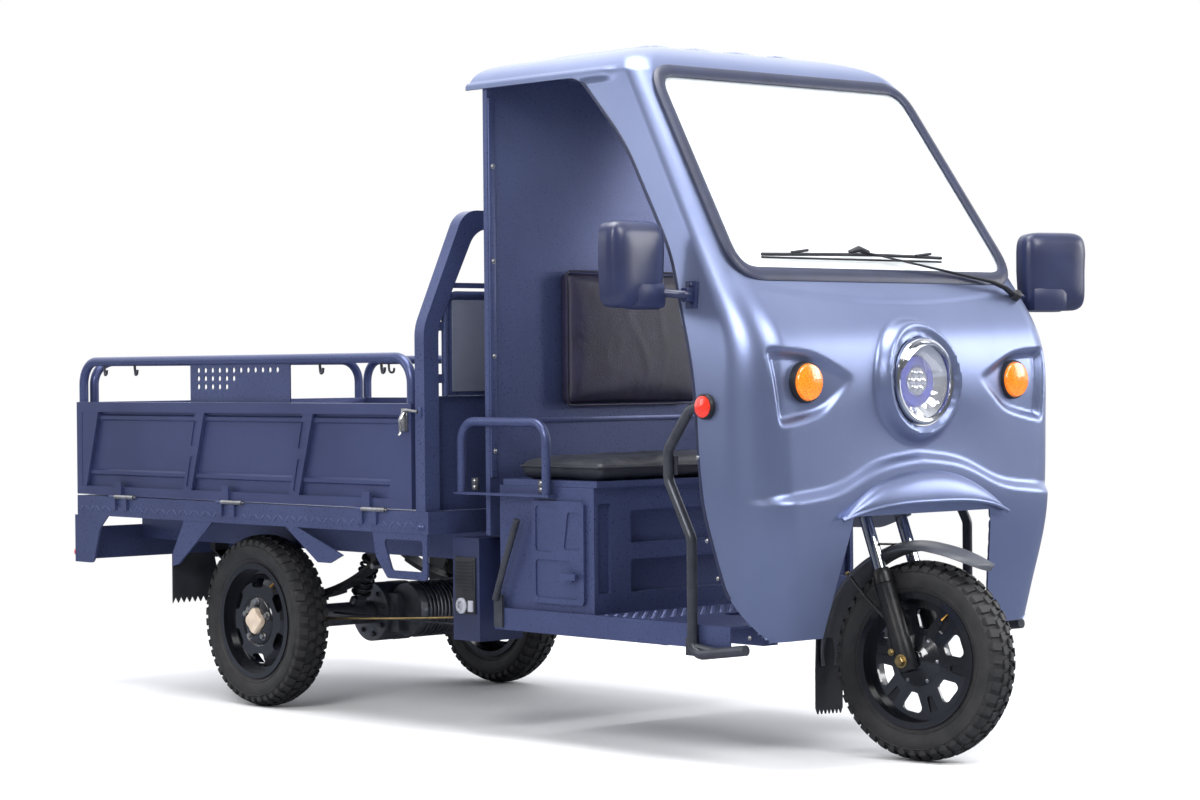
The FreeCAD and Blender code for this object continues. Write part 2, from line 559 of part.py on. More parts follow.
def build_seat_box():
    half, wall = "boxHalfWidth", "boxWall"
    base, top = "floorTop + seatGap", "boxTop"
    body = prism("SeatBox", "XY", [("boxRear", f"-({half})"), ("boxFront", f"-({half})"), ("boxFront", half),
                                   ("boxRear", half)], base, top)
    shape_between(body, "XY", [(f"boxRear + {wall}", f"-({half}) + {wall}"), (f"boxFront - {wall}", f"-({half}) + {wall}"),
                               (f"boxFront - {wall}", f"{half} - {wall}"), (f"boxRear + {wall}", f"{half} - {wall}")],
                  f"{base} + {wall}", f"{top} + 1", removes=True)
    shape_between(body, "XZ", [("doorRear + 12", "doorBase + 12", 10), ("doorFront - 12", "doorBase + 12", 10),
                               ("doorFront - 12", "doorTop - 12", 10), ("doorRear + 12", "doorTop - 12", 10)],
                  f"-({half}) - 5", f"{half} + 5", removes=True)
    # Shelf trays let into the front wall, and an upright slot at each end
    shape_between(body, "YZ", [("-shelfHalf - 15", "shelfBase - 15"), ("shelfHalf + 15", "shelfBase - 15"),
                               ("shelfHalf + 15", "shelfTop + 15"), ("-shelfHalf - 15", "shelfTop + 15")],
                  "boxFront - shelfDepth - 6", f"boxFront - {wall} + 1")
    for low, high in (("shelfBase", "shelfBase + shelfTall"), ("shelfTop - shelfTall", "shelfTop")):
        shape_between(body, "YZ", [("-shelfHalf", low, 8), ("shelfHalf", low, 8), ("shelfHalf", high, 8),
                                   ("-shelfHalf", high, 8)], "boxFront - shelfDepth", "boxFront + 1", removes=True)
    for a, b in (("-465", "-420"), ("420", "465")):
        shape_between(body, "YZ", [(a, "shelfBase", 8), (b, "shelfBase", 8), (b, "632", 8), (a, "632", 8)],
                      "boxFront - 11", "boxFront + 1", removes=True)
    node("seat_box", body)
    node("battery_pack", block("BatteryPack", (f"boxRear + {wall} + 20", "-410", f"{base} + {wall} + seatGap"),
                               ("boxFront - shelfDepth - 26", "410", "600")))

    door = prism("BatteryDoor", "XZ", [("doorRear", "doorBase", 12), ("doorFront", "doorBase", 12),
                                       ("doorFront", "doorTop", 12), ("doorRear", "doorTop", 12)],
                 f"-({half}) - 0.5 - doorThickness", f"-({half}) - 0.5")
    face = f"-({half}) - 0.5 - doorThickness"
    for corners in DOOR_PRESSINGS:
        shape_between(door, "XZ", [(f"doorRear + {x}", f"doorBase + {z}", r) for x, z, r in corners],
                      f"{face} - 1", f"{face} + 3.5", removes=True)
    lock = rod("DoorLock", "y", "14", f"-({half}) - doorThickness - 10", f"-({half}) - doorThickness", "doorFront - 45",
               "doorBase + 72")
    handle = block("DoorHandle", ("doorFront - 75", f"-({half}) - doorThickness - 18", "doorBase + 64"),
                   ("doorFront - 15", f"-({half}) - doorThickness - 9", "doorBase + 80"))
    right = joined("DoorRight", [door, lock, handle])
    node("battery_door_right", right)
    node("battery_door_left", mirrored("DoorLeft", right), shifted=True)

    lid = block("SeatLid", ("lidRear", "-boxHalfWidth", "boxTop + bearingGap"),
                ("boxFront + 12", "boxHalfWidth", "boxTop + bearingGap + lidThickness"))
    hasp = block("Hasp", ("boxFront + 12", "-40", "boxTop - 24"), ("boxFront + 16", "0", "boxTop + 10"))
    node("seat_lid", joined("SeatLidAll", [lid, hasp]))
    base = "boxTop + bearingGap + lidThickness + seatGap"
    cushion = prism("SeatCushion", "XZ", [("cushionRear", base), ("cushionFront", base),
                                          ("cushionFront", f"{base} + cushionHeight - 8", 24),
                                          ("cushionRear", f"{base} + cushionHeight", 20)],
                    "-cushionHalfWidth", "cushionHalfWidth")
    node("seat_cushion", cushion)

    arm = bent_tube("ArmTube", [("armrestRear", "-armrestSide", "armrestBase + 5"),
                                ("armrestRear", "-armrestSide", "armrestTop"),
                                ("armrestFront", "-armrestSide", "armrestTop"),
                                ("armrestFront", "-armrestSide", "armrestBase + 5")], "armrestRadius", "52")
    rail = block("ArmRail", ("armrestRear - 20", "-armrestSide - 12", "armrestBase"),
                 ("armrestFront + 20", "-wallHalfWidth - seatGap", "armrestBase + 6"))
    ledge = block("ArmLedge", ("boxRear", "-wallHalfWidth - 2", "armrestBase"),
                  ("armrestFront + 20", "-boxHalfWidth - seatGap", "armrestBase + 6"))
    node("armrests", both_sides("Armrests", joined("ArmrestRight", [arm, rail, ledge])))


def build_rear_wall():
    front = "wallRear + wallThickness"
    under_roof = formed("UnderRoof", cab_block(size("shellSkin + seatGap")))
    panel = prism("RearWallPanel", "YZ", [("-wallHalfWidth", "railTop + seatGap"), ("wallHalfWidth", "railTop + seatGap"),
                                          ("wallHalfWidth", "eaveHeight + 120"), ("-wallHalfWidth", "eaveHeight + 120")],
                  "wallRear", front)
    wall = doc.addObject("Part::Common", "RearWall")
    wall.Base = panel
    wall.Tool = under_roof
    node("cab_rear_wall", wall)
    node("backrest", prism("Backrest", "YZ", [("-backrestHalfWidth", "backrestBase", 22),
                                              ("backrestHalfWidth", "backrestBase", 22),
                                              ("backrestHalfWidth", "backrestTop", 22),
                                              ("-backrestHalfWidth", "backrestTop", 22)],
                           f"{front} + seatGap", f"{front} + seatGap + backrestDepth"))


# Cab shell: lofts through level sections, each with a front, a half width and a corner radius

CAB_LEVELS = ("shellBase sillFront sillHalf sillCorner", "chinHeight chinFront chinHalf chinCorner",
              "noseHeight noseFront noseHalf noseCorner", "browHeight browFront browHalf browCorner",
              "cowlHeight cowlFront cowlHalf cowlCorner", "eaveHeight eaveFront eaveHalf eaveCorner")
# Roof levels over the eave: rise, set-back of the front, half width
ROOF_LEVELS = ((0, 0, 0), (36, 34, -32), (62, 90, -104), (80, 180, -212), (88, 290, -330))


def level_section(z, front, half, corner, back):
    corners = [V(back, -half, z), V(front, -half, z), V(front, half, z), V(back, half, z)]
    a = V(front - corner, -half, z)
    b = V(front, -half + corner, z)
    turn = corner * (1 - math.sqrt(0.5))
    edges = [Part.LineSegment(corners[0], a).toShape(),
             Part.Arc(a, V(front - turn, -half + turn, z), b).toShape(),
             Part.LineSegment(b, V(b.x, -b.y, z)).toShape(),
             Part.Arc(V(b.x, -b.y, z), V(front - turn, half - turn, z), V(a.x, -a.y, z)).toShape(),
             Part.LineSegment(V(a.x, -a.y, z), corners[3]).toShape(),
             Part.LineSegment(corners[3], corners[0]).toShape()]
    return Part.Wire(edges)


def cab_block(inset):
    """The cab's whole outer form, or with an inset the hollow inside it."""
    back = size("cabBack") - 20 * inset
    body = []
    for level in CAB_LEVELS:
        z, front, half, corner = (size(word) for word in level.split())
        body.append(level_section(z, front - inset, half - inset, corner - inset, back))
    if inset:
        first = body[0]
        below = first.copy()
        below.translate(V(0, 0, -60))
        foot = Part.makeLoft([below, first], True, True)
    lower = Part.makeLoft(body[:5], True, False)
    screen = Part.makeLoft(body[4:6], True, True)
    top, front, half = size("eaveHeight"), size("eaveFront"), size("eaveHalf")
    roof = [level_section(top + rise - (inset if rise else 0), front - setback - inset, half + spread - inset,
                          size("eaveCorner") - inset, back) for rise, setback, spread in ROOF_LEVELS]
    shape = lower.fuse([screen, Part.makeLoft(roof, True, False)] + ([foot] if inset else []))
    return shape


def side_opening():
    """Door opening on each side, from the eave down to the sill."""
    corners = [("cabBack - 60", "eaveHeight - 8", 0), ("1452", "eaveHeight - 8", 95), ("1640", "1540", 700),
               ("1838", "1255", 500), ("1943", "960", 700), ("1960", "640", 400), ("2010", "440", 120),
               ("2100", "shellBase - 5", 0), ("2100", "200", 0), ("cabBack - 60", "200", 0)]
    body = prism("SideOpening", "XZ", [c[:2] if not c[2] else c for c in corners], "-900", "900")
    return body


def screen_frame():
    """Placement on the windscreen: X to the left across the cab, Y up the glass, Z out of it."""
    low, high = size("cowlHeight"), size("eaveHeight")
    rise = V(size("eaveFront - cowlFront"), 0, high - low).normalize()
    across = V(0, 1, 0)
    out = across.cross(rise)
    base = V(size("cowlFront"), 0, low)
    matrix = FreeCAD.Matrix(across.x, rise.x, out.x, base.x, across.y, rise.y, out.y, base.y,
                            across.z, rise.z, out.z, base.z)
    return Placement(matrix)


def screen_prism(margin, low, high):
    """The windscreen's outline grown by a margin, between two depths."""
    frame = screen_frame()
    slope = size("eaveHeight - cowlHeight") / math.hypot(size("eaveHeight - cowlHeight"),
                                                        size("eaveFront - cowlFront"))
    y0 = size("glassLowHeight - cowlHeight") / slope - margin
    y1 = size("glassHighHeight - cowlHeight") / slope + margin
    x0, x1 = size("glassLowHalf") + margin, size("glassHighHalf") + margin
    points = [V(-x0, y0, low), V(x0, y0, low), V(x1, y1, low), V(-x1, y1, low)]
    wire = rounded([frame.multVec(p) for p in points], size("glassCorner") + margin)
    return Part.Face(wire).extrude(frame.Rotation.multVec(V(0, 0, high - low)))


def rounded(points, radius):
    """A closed outline with all its corners rounded alike."""
    start = (points[-1] + points[0]) * 0.5
    ring = bent_path([start] + points + [start], radius)
    return Part.Wire(ring.Edges)


def build_shell():
    outer, inner = cab_block(0), cab_block(size("shellSkin"))
    shell = outer
    for y in (-1, 1):
        shell = shell.cut(signal_dish(y, 0))
        inner = inner.cut(signal_dish(y, size("shellSkin")))
    shell = shell.fuse(swage_bead()).cut(inner)
    doc.recompute()
    shell = shell.cut(opening.Shape)
    shell = shell.cut(screen_prism(0, -90, 60))
    arch = Part.Face(Part.makePolygon([spot("1900", "-archHalfBase", "shellBase - 20"),
                                       spot("1900", "archHalfBase", "shellBase - 20"),
                                       spot("1900", "archHalfTop", "archTop"),
                                       spot("1900", "-archHalfTop", "archTop"),
                                       spot("1900", "-archHalfBase", "shellBase - 20")]))
    shell = shell.cut(arch.extrude(V(500, 0, 0)))
    centre = spot("lampFace - 74", "0", "lampHeight")
    cone = Part.makeCone(size("lampRingRadius"), size("lampRadius + 6"), 62, centre, V(1, 0, 0)).cut(inner)
    bore = Part.makeCylinder(size("lampRadius + seatGap"), 300, centre - V(100, 0, 0), V(1, 0, 0))
    shell = shell.fuse(cone).cut(bore)
    for y in (-1, 1):
        seat = spot("noseFront - 60", f"{y}*signalSide", "signalHeight")
        shell = shell.cut(Part.makeCylinder(size("signalRadius + seatGap"), 120, seat, V(1, 0, 0)))
    node("cab_shell", formed("CabShell", max(shell.Solids, key=lambda s: s.Volume)))

    visor = visor_form().cut(outer)
    node("front_visor", formed("FrontVisor", max(visor.Solids, key=lambda s: s.Volume)))

    glass = screen_prism(-size("seatGap") - 6, -size("shellSkin"), size("glassThickness") - size("shellSkin"))
    node("windscreen", formed("Windscreen", glass))
    seal = screen_prism(-size("seatGap"), -size("shellSkin"), size("sealDepth") - size("shellSkin"))
    lip = screen_prism(size("sealWidth") - 8, size("seatGap"), size("sealDepth") - size("shellSkin"))
    hole = screen_prism(-6, -60, 60)
    rim = screen_prism(-14, -60, 60)
    seal = seal.cut(hole).fuse(seal.cut(rim).cut(screen_prism(-6, -60, size("glassThickness - shellSkin + seatGap"))))
    seal = seal.fuse(lip.cut(rim)).removeSplitter()
    node("windscreen_seal", formed("WindscreenSeal", max(seal.Solids, key=lambda s: s.Volume)))


# Dish round each front lamp: across and up of its corners at the face and at its floor
DISH_CORNERS = (((-510, 1028), (-490, 1004)), ((-481, 820), (-467, 852)), ((-109, 948), (-335, 944)))


def signal_dish(side, skin):
    """Three-cornered pressing that tapers to a point towards the headlamp; skin grows it by the sheet."""
    face, floor = size("noseFront") + 18 - skin, size("noseFront") - 30 - skin
    rings = []
    for n, x in ((0, face), (1, floor)):
        corners = [V(x, side * c[n][0], size("signalHeight - 938") + c[n][1]) for c in DISH_CORNERS]
        middle = (corners[0] + corners[1] + corners[2]) / 3
        corners = [middle + (c - middle) * (1 + skin / 70) for c in corners]
        rings.append(Part.makePolygon(corners + corners[:1]))
    return Part.makeLoft(rings, True, True)


def swage_bead():
    """Raised line pressed across the nose, which arches over the visor."""
    x, rise = size("chinFront - 9"), size("visorTop - 700")
    line = [V(x - 8, -478, 651), V(x, -250, 672 + rise), V(x, -112, 742 + rise), V(x, 112, 742 + rise),
            V(x, 250, 672 + rise), V(x - 8, 478, 651)]
    path = bent_path(line, 70)
    ring = Part.Wire([Part.Circle(line[0], line[1] - line[0], 16).toShape()])
    return path.makePipeShell([ring], True, False)


def visor_form():
    """Brow over the front wheel: an arched band standing out of the nose."""
    def arch(drop, back):
        top, base, half = size("visorTop") - drop, size("visorBase"), size("visorHalf") - drop
        x = size("visorFront") - back
        curve = Part.Arc(V(x, -half, base), V(x, 0, top), V(x, half, base)).toShape()
        return Part.Wire([curve, Part.LineSegment(V(x, half, base), V(x, -half, base)).toShape()])
    body = Part.makeLoft([arch(0, 140), arch(18, 0)], True, True)
    skin = size("visorSkin")
    hollow = Part.makeLoft([arch(skin, 141), arch(18 + skin, -1)], True, True)
    hollow.translate(V(0, 0, -0.5))
    return body.cut(hollow)


def build_cab_fittings():
    centre = spot("lampFace - lampDepth", "0", "lampHeight")
    deep, radius = size("lampDepth"), size("lampRadius")
    lamp = Part.makeCylinder(radius, deep, centre, V(1, 0, 0))
    bowl = Part.makeCone(radius * 0.35, radius - 12, deep - 4, centre + V(8, 0, 0), V(1, 0, 0))
    lamp = lamp.cut(bowl)
    node("headlamp", formed("Headlamp", lamp))
    lens = Part.makeCylinder(radius - 16, 4, centre + V(deep - 12, 0, 0), V(1, 0, 0))
    node("headlamp_lens", formed("HeadlampLens", lens.common(bowl)))

    signals = []
    for word, y in (("Right", -1), ("Left", 1)):
        seat = spot("noseFront - 40", f"{y}*signalSide", "signalHeight")
        dome = Part.makeSphere(62, seat + V(-6, 0, 0))
        stub = Part.makeCylinder(size("signalRadius"), 56, seat, V(1, 0, 0)).common(dome)
        signals.append(formed(f"Signal{word}", stub))
        side = y * size("noseHalf")
        marker = Part.makeCylinder(size("markerRadius"), 12, V(size("markerPlace"), side + y * 0.3,
                                                              size("markerHeight")), V(0, y, 0))
        signals.append(formed(f"Marker{word}", marker))
    node("signal_lamps", grouped("SignalLamps", signals))


# Mirrors: side, head centre along the vehicle, and the head's turn
MIRRORS = (("right", -1, 1871, 8), ("left", 1, 2014, -16))


def build_mirrors():
    skin = cab_block(-size("seatGap"))
    for word, side, x, turn in MIRRORS:
        head = Part.makeBox(66, 200, 212, V(-33, -100, -106))
        head = head.makeFillet(26, [e for e in head.Edges if abs(e.tangentAt(e.FirstParameter).x) > 0.9])
        glass = Part.makeBox(4, 164, 176, V(-36.5, -82, -88))
        head.rotate(V(), V(0, 0, 1), turn)
        glass.rotate(V(), V(0, 0, 1), turn)
        place = V(x, side * 692, 1222)
        head.translate(place)
        glass.translate(place)
        root = V(1925, side * 551, 1150)
        arm = bent_path([root + V(0, side * 6, 0), root + V(0, side * 42, 0), V(x, side * 640, 1165)], 12)
        ring = Part.Wire([Part.Circle(root + V(0, side * 6, 0), V(0, 1, 0), 9).toShape()])
        arm = arm.makePipeShell([ring], True, False)
        plate = Part.makeBox(44, 30, 70, V(1903, min(side * 533, side * 563), 1115)).cut(skin)
        node(f"mirror_{word}", formed(f"Mirror_{word}", head.fuse([arm, plate]).removeSplitter()))


def build_guard_tubes():
    side = "(floorHalfWidth + 13.5)"
    route = [("2052", f"-{side}", "300"), ("1868", f"-{side}", "276"), ("1868", f"-{side}", "560"),
             ("1788", f"-{side}", "700"), ("1788", f"-{side}", "775"), ("1864", f"-{side}", "872"),
             ("1975", f"-{side}", "902")]
    tube = bent_tube("GuardTube", route, "13", "34")
    tab = block("GuardTab", ("1952", "-noseHalf + shellSkin + 1.5", "888"), ("1970", f"-{side} + 4", "908"))
    node("guard_tubes", both_sides("GuardTubes", joined("GuardRight", [tube, tab])))


# Bed: floor with skirts, bulkhead, hoop, drop sides and tailgate

def build_bed():
    half = "bedHalfWidth"
    body = prism("BedFloor", "XY", [("bedRear", f"-({half})"), ("bedFront", f"-({half})"), ("bedFront", half),
                                    ("bedRear", half)], "bedTop - bedPlate", "bedTop")
    # The hoop and bulkhead stand in a shallow seat ahead of the load floor
    shape_between(body, "XY", [("hoopRear - 8", f"-({half}) - 1"), ("bedFront + 1", f"-({half}) - 1"),
                               ("bedFront + 1", f"{half} + 1"), ("hoopRear - 8", f"{half} + 1")],
                  "bedTop - seatGap", "bedTop + 1", removes=True)
    low, high = "railTop + seatGap", "bedTop - bedPlate + 1"
    skirts = [("bedRear", "bedFront", f"-({half})", f"-({half}) + skirtWall"),
              ("bedRear", "bedFront", f"{half} - skirtWall", half)]
    ends = [("bedRear", "bedRear + skirtWall"), ("bedFront - skirtWall", "bedFront")]
    bearers = [(f"bedRear + {60 + 326*n}", f"bedRear + {60 + 326*n} + memberWidth") for n in range(6)]
    for a, b in ends + bearers:
        skirts.append((a, b, f"-({half}) + 1", f"{half} - 1"))
    for a, b, c, d in skirts:
        shape_between(body, "XY", [(a, c), (b, c), (b, d), (a, d)], low, high)
    fixed = knuckles("SideSeat", "XZ", HINGES_ALONG_SIDE, "-1", "bedHalfWidth", False)
    fixed += knuckles("GateSeat", "YZ", HINGES_ALONG_GATE, "-1", "-bedRear", False)
    other = mirrored("SideSeatsLeft", joined("SideSeatsRight", [body] + fixed[:len(HINGES_ALONG_SIDE) * 4]))
    node("bed_floor", joined("BedFloorAll", [body, other] + fixed))

    front = "hoopRear + hoopDepth"
    inner = f"{half} - hoopWidth"
    node("bed_bulkhead", block("Bulkhead", ("hoopRear + 12", f"-({inner}) + seatGap", "bedTop + seatGap"),
                               ("hoopRear + 20", f"{inner} - seatGap", "bulkheadTop")))
    hoop = prism("HoopFrame", "YZ", hoop_outline("0"), "hoopRear", front)
    shape_between(hoop, "YZ", hoop_outline("hoopWidth"), "hoopRear - 1", f"{front} + 1", removes=True)
    mid = "hoopRear + 28"
    guard = bent_tube("GuardFrame", [(mid, "-guardHalf", "bulkheadTop + seatGap"), (mid, "-guardHalf", "guardTop"),
                                     (mid, "guardHalf", "guardTop"), (mid, "guardHalf", "bulkheadTop + seatGap")],
                      "guardTube", "42")
    panel = block("GuardPanel", (f"{mid} - 2", "-guardHalf + 4", "bulkheadTop + seatGap"),
                  (f"{mid} + 2", "guardHalf - 4", "guardTop - 4"))
    lugs = [block(f"GuardLug{n}", (f"{mid} - 6", a, z), (f"{mid} + 6", b, f"{z} + 24"))
            for n, (a, b, z) in enumerate((("-bedHalfWidth + hoopWidth - 3", "-guardHalf", "940"),
                                           ("guardHalf", "bedHalfWidth - hoopWidth + 3", "940"),
                                           ("-bedHalfWidth + hoopWidth - 3", "-guardHalf", "1080"),
                                           ("guardHalf", "bedHalfWidth - hoopWidth + 3", "1080")))]
    bar = block("Crossbar", (f"{mid} - 7", "-472", "crossbarHeight - 7"), (f"{mid} + 7", "472", "crossbarHeight + 7"))
    node("hoop_guard", joined("HoopGuard", [hoop, guard, panel, bar] + lugs))


def hoop_outline(inset):
    """The hoop's outline in the plane across the bed; the inner one is the same, set in."""
    half, knee, top = f"bedHalfWidth - {inset}", "hoopKnee", f"hoopTop - {inset}"
    shoulder = f"hoopShoulder - {inset}*0.8"
    foot = "bedTop + seatGap" if inset == "0" else "bedTop - 10"
    left = [(half, foot), (half, knee, 120), (shoulder, top, 70)]
    return left + [tuple([f"-({c[0]})"] + list(c[1:])) for c in reversed(left)]


HINGES_ALONG_SIDE = ("-598", "-31", "640")
HINGES_ALONG_GATE = ("-380", "346")


def knuckles(name, plane, starts, sign, face, moving):
    """Hinge knuckles and leaves on one side of a hinge line, outboard of a vertical face."""
    pieces = []
    axis = "x" if plane == "XZ" else "y"
    line = f"{sign}*({face} + hingeOut)"
    for n, start in enumerate(starts):
        spans = [(start, f"{start} + knuckleLength")] if moving else [
            (f"{start} - 28", f"{start} - bearingGap"),
            (f"{start} + knuckleLength + bearingGap", f"{start} + knuckleLength + 28")]
        low, high = ("bedTop", "bedTop + 46") if moving else ("bedTop - 40", "bedTop - 1.5")
        for k, (a, b) in enumerate(spans):
            tag = f"{name}{n}{k}"
            near, far = f"{face}", f"{face} + hingeOut + 2"
            y0, y1 = (near, far) if sign == "1" else (f"-({far})", f"-({near})")
            ends = (line, "bedTop")
            pieces.append(rod(tag + "Knuckle", axis, "knuckleRadius", a, b, *ends))
            corners = ((a, y0, low), (b, y1, high)) if plane == "XZ" else ((y0, a, low), (y1, b, high))
            pieces.append(block(tag + "Leaf", *corners))
    return pieces


def drop_panel(name, length_low, length_high, plane, low, high, skin_low, skin_high):
    """Pressed panel: a skin with a frame of flanges and two long swages."""
    base, top = "bedTop + hingeGap", "sideTop"
    body = prism(name, plane, [(length_low, base), (length_high, base), (length_high, top), (length_low, top)],
                 skin_low, skin_high)
    frame = [(length_low, length_high, base, f"{base} + 26"), (length_low, length_high, f"{top} - 30", top),
             (length_low, f"{length_low} + 30", base, top), (f"{length_high} - 30", length_high, base, top)]
    for a, b, c, d in frame:
        shape_between(body, plane, [(a, c), (b, c), (b, d), (a, d)], low, high)
    return body


def build_sides():
    out, inside = "-bedHalfWidth", "-bedHalfWidth + sideThickness"
    panel = drop_panel("SidePanel", "bedRear", "sideFront", "XZ", out, inside, "-bedHalfWidth + 14",
                       "-bedHalfWidth + 14 + sideSkin")
    base, top = "bedTop + hingeGap + 20", "sideTop - 20"
    skin = "-bedHalfWidth + 15"
    for z in ("bedTop + 62", "sideTop - 58"):
        shape_between(panel, "YZ", [(skin, z), ("-bedHalfWidth + 8", f"{z} + 6"), ("-bedHalfWidth + 8", f"{z} + 16"),
                                    (skin, f"{z} + 22")], "bedRear + 20", "sideFront - 20")
    for a, b, c, d in (("-246", "-200", "-126", "-172"), ("289", "335", "409", "363"),
                       ("bedRear + 20", "bedRear + 50", "bedRear + 124", "bedRear + 20"),
                       ("741", "sideFront - 20", "sideFront - 20", "815")):
        shape_between(panel, "XZ", [(a, base), (b, base), (c, top), (d, top)], f"{out} + 1", "-bedHalfWidth + 16")
    for x, low, high in (("-226", 30, 120), ("-200", 150, 225), ("309", 30, 120), ("335", 150, 225)):
        run = 66 * (high - low) / 250
        z0, z1 = f"bedTop + {low + 10}", f"bedTop + {high + 10}"
        shape_between(panel, "XZ", [(x, z0, 4), (f"{x} + 22", z0, 4), (f"{x} + {22 + run}", z1, 4),
                                    (f"{x} + {run}", z1, 4)], f"{out} - 1", f"{out} + 4", removes=True)
    mid = "-bedHalfWidth + sideThickness/2"
    foot = "sideTop + seatGap"
    rack = bent_tube("SideRack", [("bedRear + rackInset", mid, foot), ("bedRear + rackInset", mid, "rackHeight"),
                                  ("sideFront - rackInset", mid, "rackHeight"), ("sideFront - rackInset", mid, foot)],
                     "tubeRadius", "rackBend")
    right = joined("SideRight", [panel] + knuckles("SideHinge", "XZ", HINGES_ALONG_SIDE, "-1", "bedHalfWidth", True))
    node("side_panel_right", right)
    node("side_panel_left", mirrored("SideLeft", right), shifted=True)

    sign = prism("RackPlate", "XZ", [("-218", "sideTop + seatGap"), ("281", "sideTop + seatGap"),
                                     ("281", "rackHeight - tubeRadius - seatGap"),
                                     ("-218", "rackHeight - tubeRadius - seatGap")], f"{mid} - 2", f"{mid} + 2")
    for row, count in enumerate((12, 6, 5)):
        for n in range(count):
            disc = {"across": f"-176 + {36 * n}", "up": f"sideTop + 94 - {24 * row}", "radius": "8"}
            shape_between(sign, "XZ", disc, f"{mid} - 3", f"{mid} + 3", removes=True)
    rail = grouped("SideRailRight", [rack, sign])
    node("side_rail_right", rail)
    node("side_rail_left", mirrored("SideRailLeft", rail), shifted=True)

    half = "bedHalfWidth - sideThickness - 4"
    gate = drop_panel("TailgatePanel", f"-({half})", half, "YZ", "bedRear", "bedRear + sideThickness", "bedRear + 14",
                      "bedRear + 14 + sideSkin")
    for z in ("bedTop + 62", "sideTop - 58"):
        shape_between(gate, "XZ", [("bedRear + 15", z), ("bedRear + 8", f"{z} + 6"), ("bedRear + 8", f"{z} + 16"),
                                   ("bedRear + 15", f"{z} + 22")], f"-({half}) + 20", f"{half} - 20")
    for y in (-180, 180):
        shape_between(gate, "YZ", [(f"{y} - 22", base), (f"{y} + 22", base), (f"{y} + 22", top), (f"{y} - 22", top)],
                      "bedRear + 1", "bedRear + 16")
    mid = "bedRear + sideThickness/2"
    rack = bent_tube("TailRack", [(mid, f"-({half}) + rackInset", "sideTop - 5"),
                                  (mid, f"-({half}) + rackInset", "rackHeight"), (mid, f"{half} - rackInset", "rackHeight"),
                                  (mid, f"{half} - rackInset", "sideTop - 5")], "tubeRadius", "rackBend")
    node("tailgate", joined("Tailgate", [gate, rack] + knuckles("GateHinge", "YZ", HINGES_ALONG_GATE, "-1",
                                                                "-bedRear", True)))


def build_under_bed():
    face_out, face_in = "-bedHalfWidth + 1", "-bedHalfWidth + 7"
    top = "railTop"
    plates = []
    # Brackets hung from the skirt's lower edge: end bracket, flap bracket, arch bracket, battery-side plate
    shapes = {"EndBracket": [("-841", "391"), ("-737", "391", 20), ("-700", "500", 60), ("-655", top),
                             ("-841", top)],
              "FlapBracket": [("-300 + seatGap", "400"), ("-268", "408"), ("-92", top), ("-238", top),
                              ("-300 + seatGap", "440")],
              "ArchBracket": [("272", top), ("330", top), ("539", "467"), ("480", "443"), ("423", "443")],
              "StepPlate": [("740", "414", 14), ("913", "414", 14), ("913", top), ("675", top), ("690", "470", 20)]}
    for word, corners in shapes.items():
        body = prism(word, "XZ", corners, face_out, face_in)
        if word == "StepPlate":
            shape_between(body, "XZ", [("760", "436", 12), ("893", "436", 12), ("893", "520", 12), ("722", "520", 12)],
                          f"{face_out} - 2", f"{face_in} + 2", removes=True)
        plates.append(body)
    lamp_plate = prism("LampPlate", "YZ", [("-540", "400"), ("540", "400"), ("540", "500"), ("-540", "500")],
                       "railRear - seatGap - 6", "railRear - seatGap")
    brackets = both_sides("ArchBrackets", grouped("BracketsRight", plates))
    node("arch_brackets", grouped("UnderBedPlates", [brackets, lamp_plate]))
    teeth = []
    for n in range(9):
        y = -566 + 158 * n / 8
        teeth.append((f"{y}", "290"))
        if n < 8:
            teeth.append((f"{y} + 158/16", "308"))
    flap = prism("MudFlap", "YZ", teeth + [("-408", "386"), ("-420", "436"), ("-566", "436")], "-305", "-300")
    node("mud_flaps", both_sides("MudFlaps", flap))
    lamps = []
    for word, y in (("Right", "-1"), ("Left", "1")):
        lamps.append(block(f"TailLamp{word}", ("-822", f"min({y}*500; {y}*390)", "420"),
                           ("railRear - 2*seatGap - 6", f"max({y}*500; {y}*390)", "480")))
        lamps.append(rod(f"EndLamp{word}", "x", "13", "-858", "-841.3", f"{y}*548", "420"))
    node("rear_lamps", grouped("RearLamps", lamps))
    box = block("ControlBox", ("945", "-505", "257"), ("1055", f"-{RAIL_SPACING}/2 - railWidth/2 - seatGap", "530"))
    node("charger_box", box)


def build_controls():
    lever = bent_tube("HandLever", [("1118", "-503", "372"), ("1160", "-506", "470"), ("1212", "-506", "585")], "9", "60")
    plate = block("LeverPlate", ("1106", "-floorHalfWidth - 6", "300"), ("1140", "-floorHalfWidth - seatGap", "386"))
    rodded = rod("BrakeRod", "x", "4", "60", "1500", "-240", "262")
    stay = block("RodStay", ("1480", "-246", "258"), ("1496", "-234", "floorTop - floorPlate - seatGap"))
    node("brake_linkage", grouped("BrakeLinkage", [joined("Handbrake", [lever, plate]),
                                                    joined("FootRod", [rodded, stay])]))


opening = side_opening()
build_wheels()
build_steering()
build_frame()
build_rear_axle()
build_floor()
build_seat_box()
build_rear_wall()
build_shell()
build_cab_fittings()
build_mirrors()
build_guard_tubes()
build_bed()
build_sides()
build_under_bed()
build_controls()
doc.recompute()

for item in doc.Objects:
    if {"Invalid", "Error"} & set(item.State):
        raise RuntimeError(f"{item.Name} failed: {item.State}")
os.makedirs("parts", exist_ok=True)
for label, item in nodes.items():
    if item.Shape.isNull() or not item.Shape.isValid() or not item.Shape.Solids:
        raise RuntimeError(f"{label} has no valid solid")
for label, item in nodes.items():
    item.Shape.exportStep(f"parts/{label}.step")
whole = Part.makeCompound([item.Shape for item in nodes.values()])
print(len(nodes), "sub-parts", whole.BoundBox)
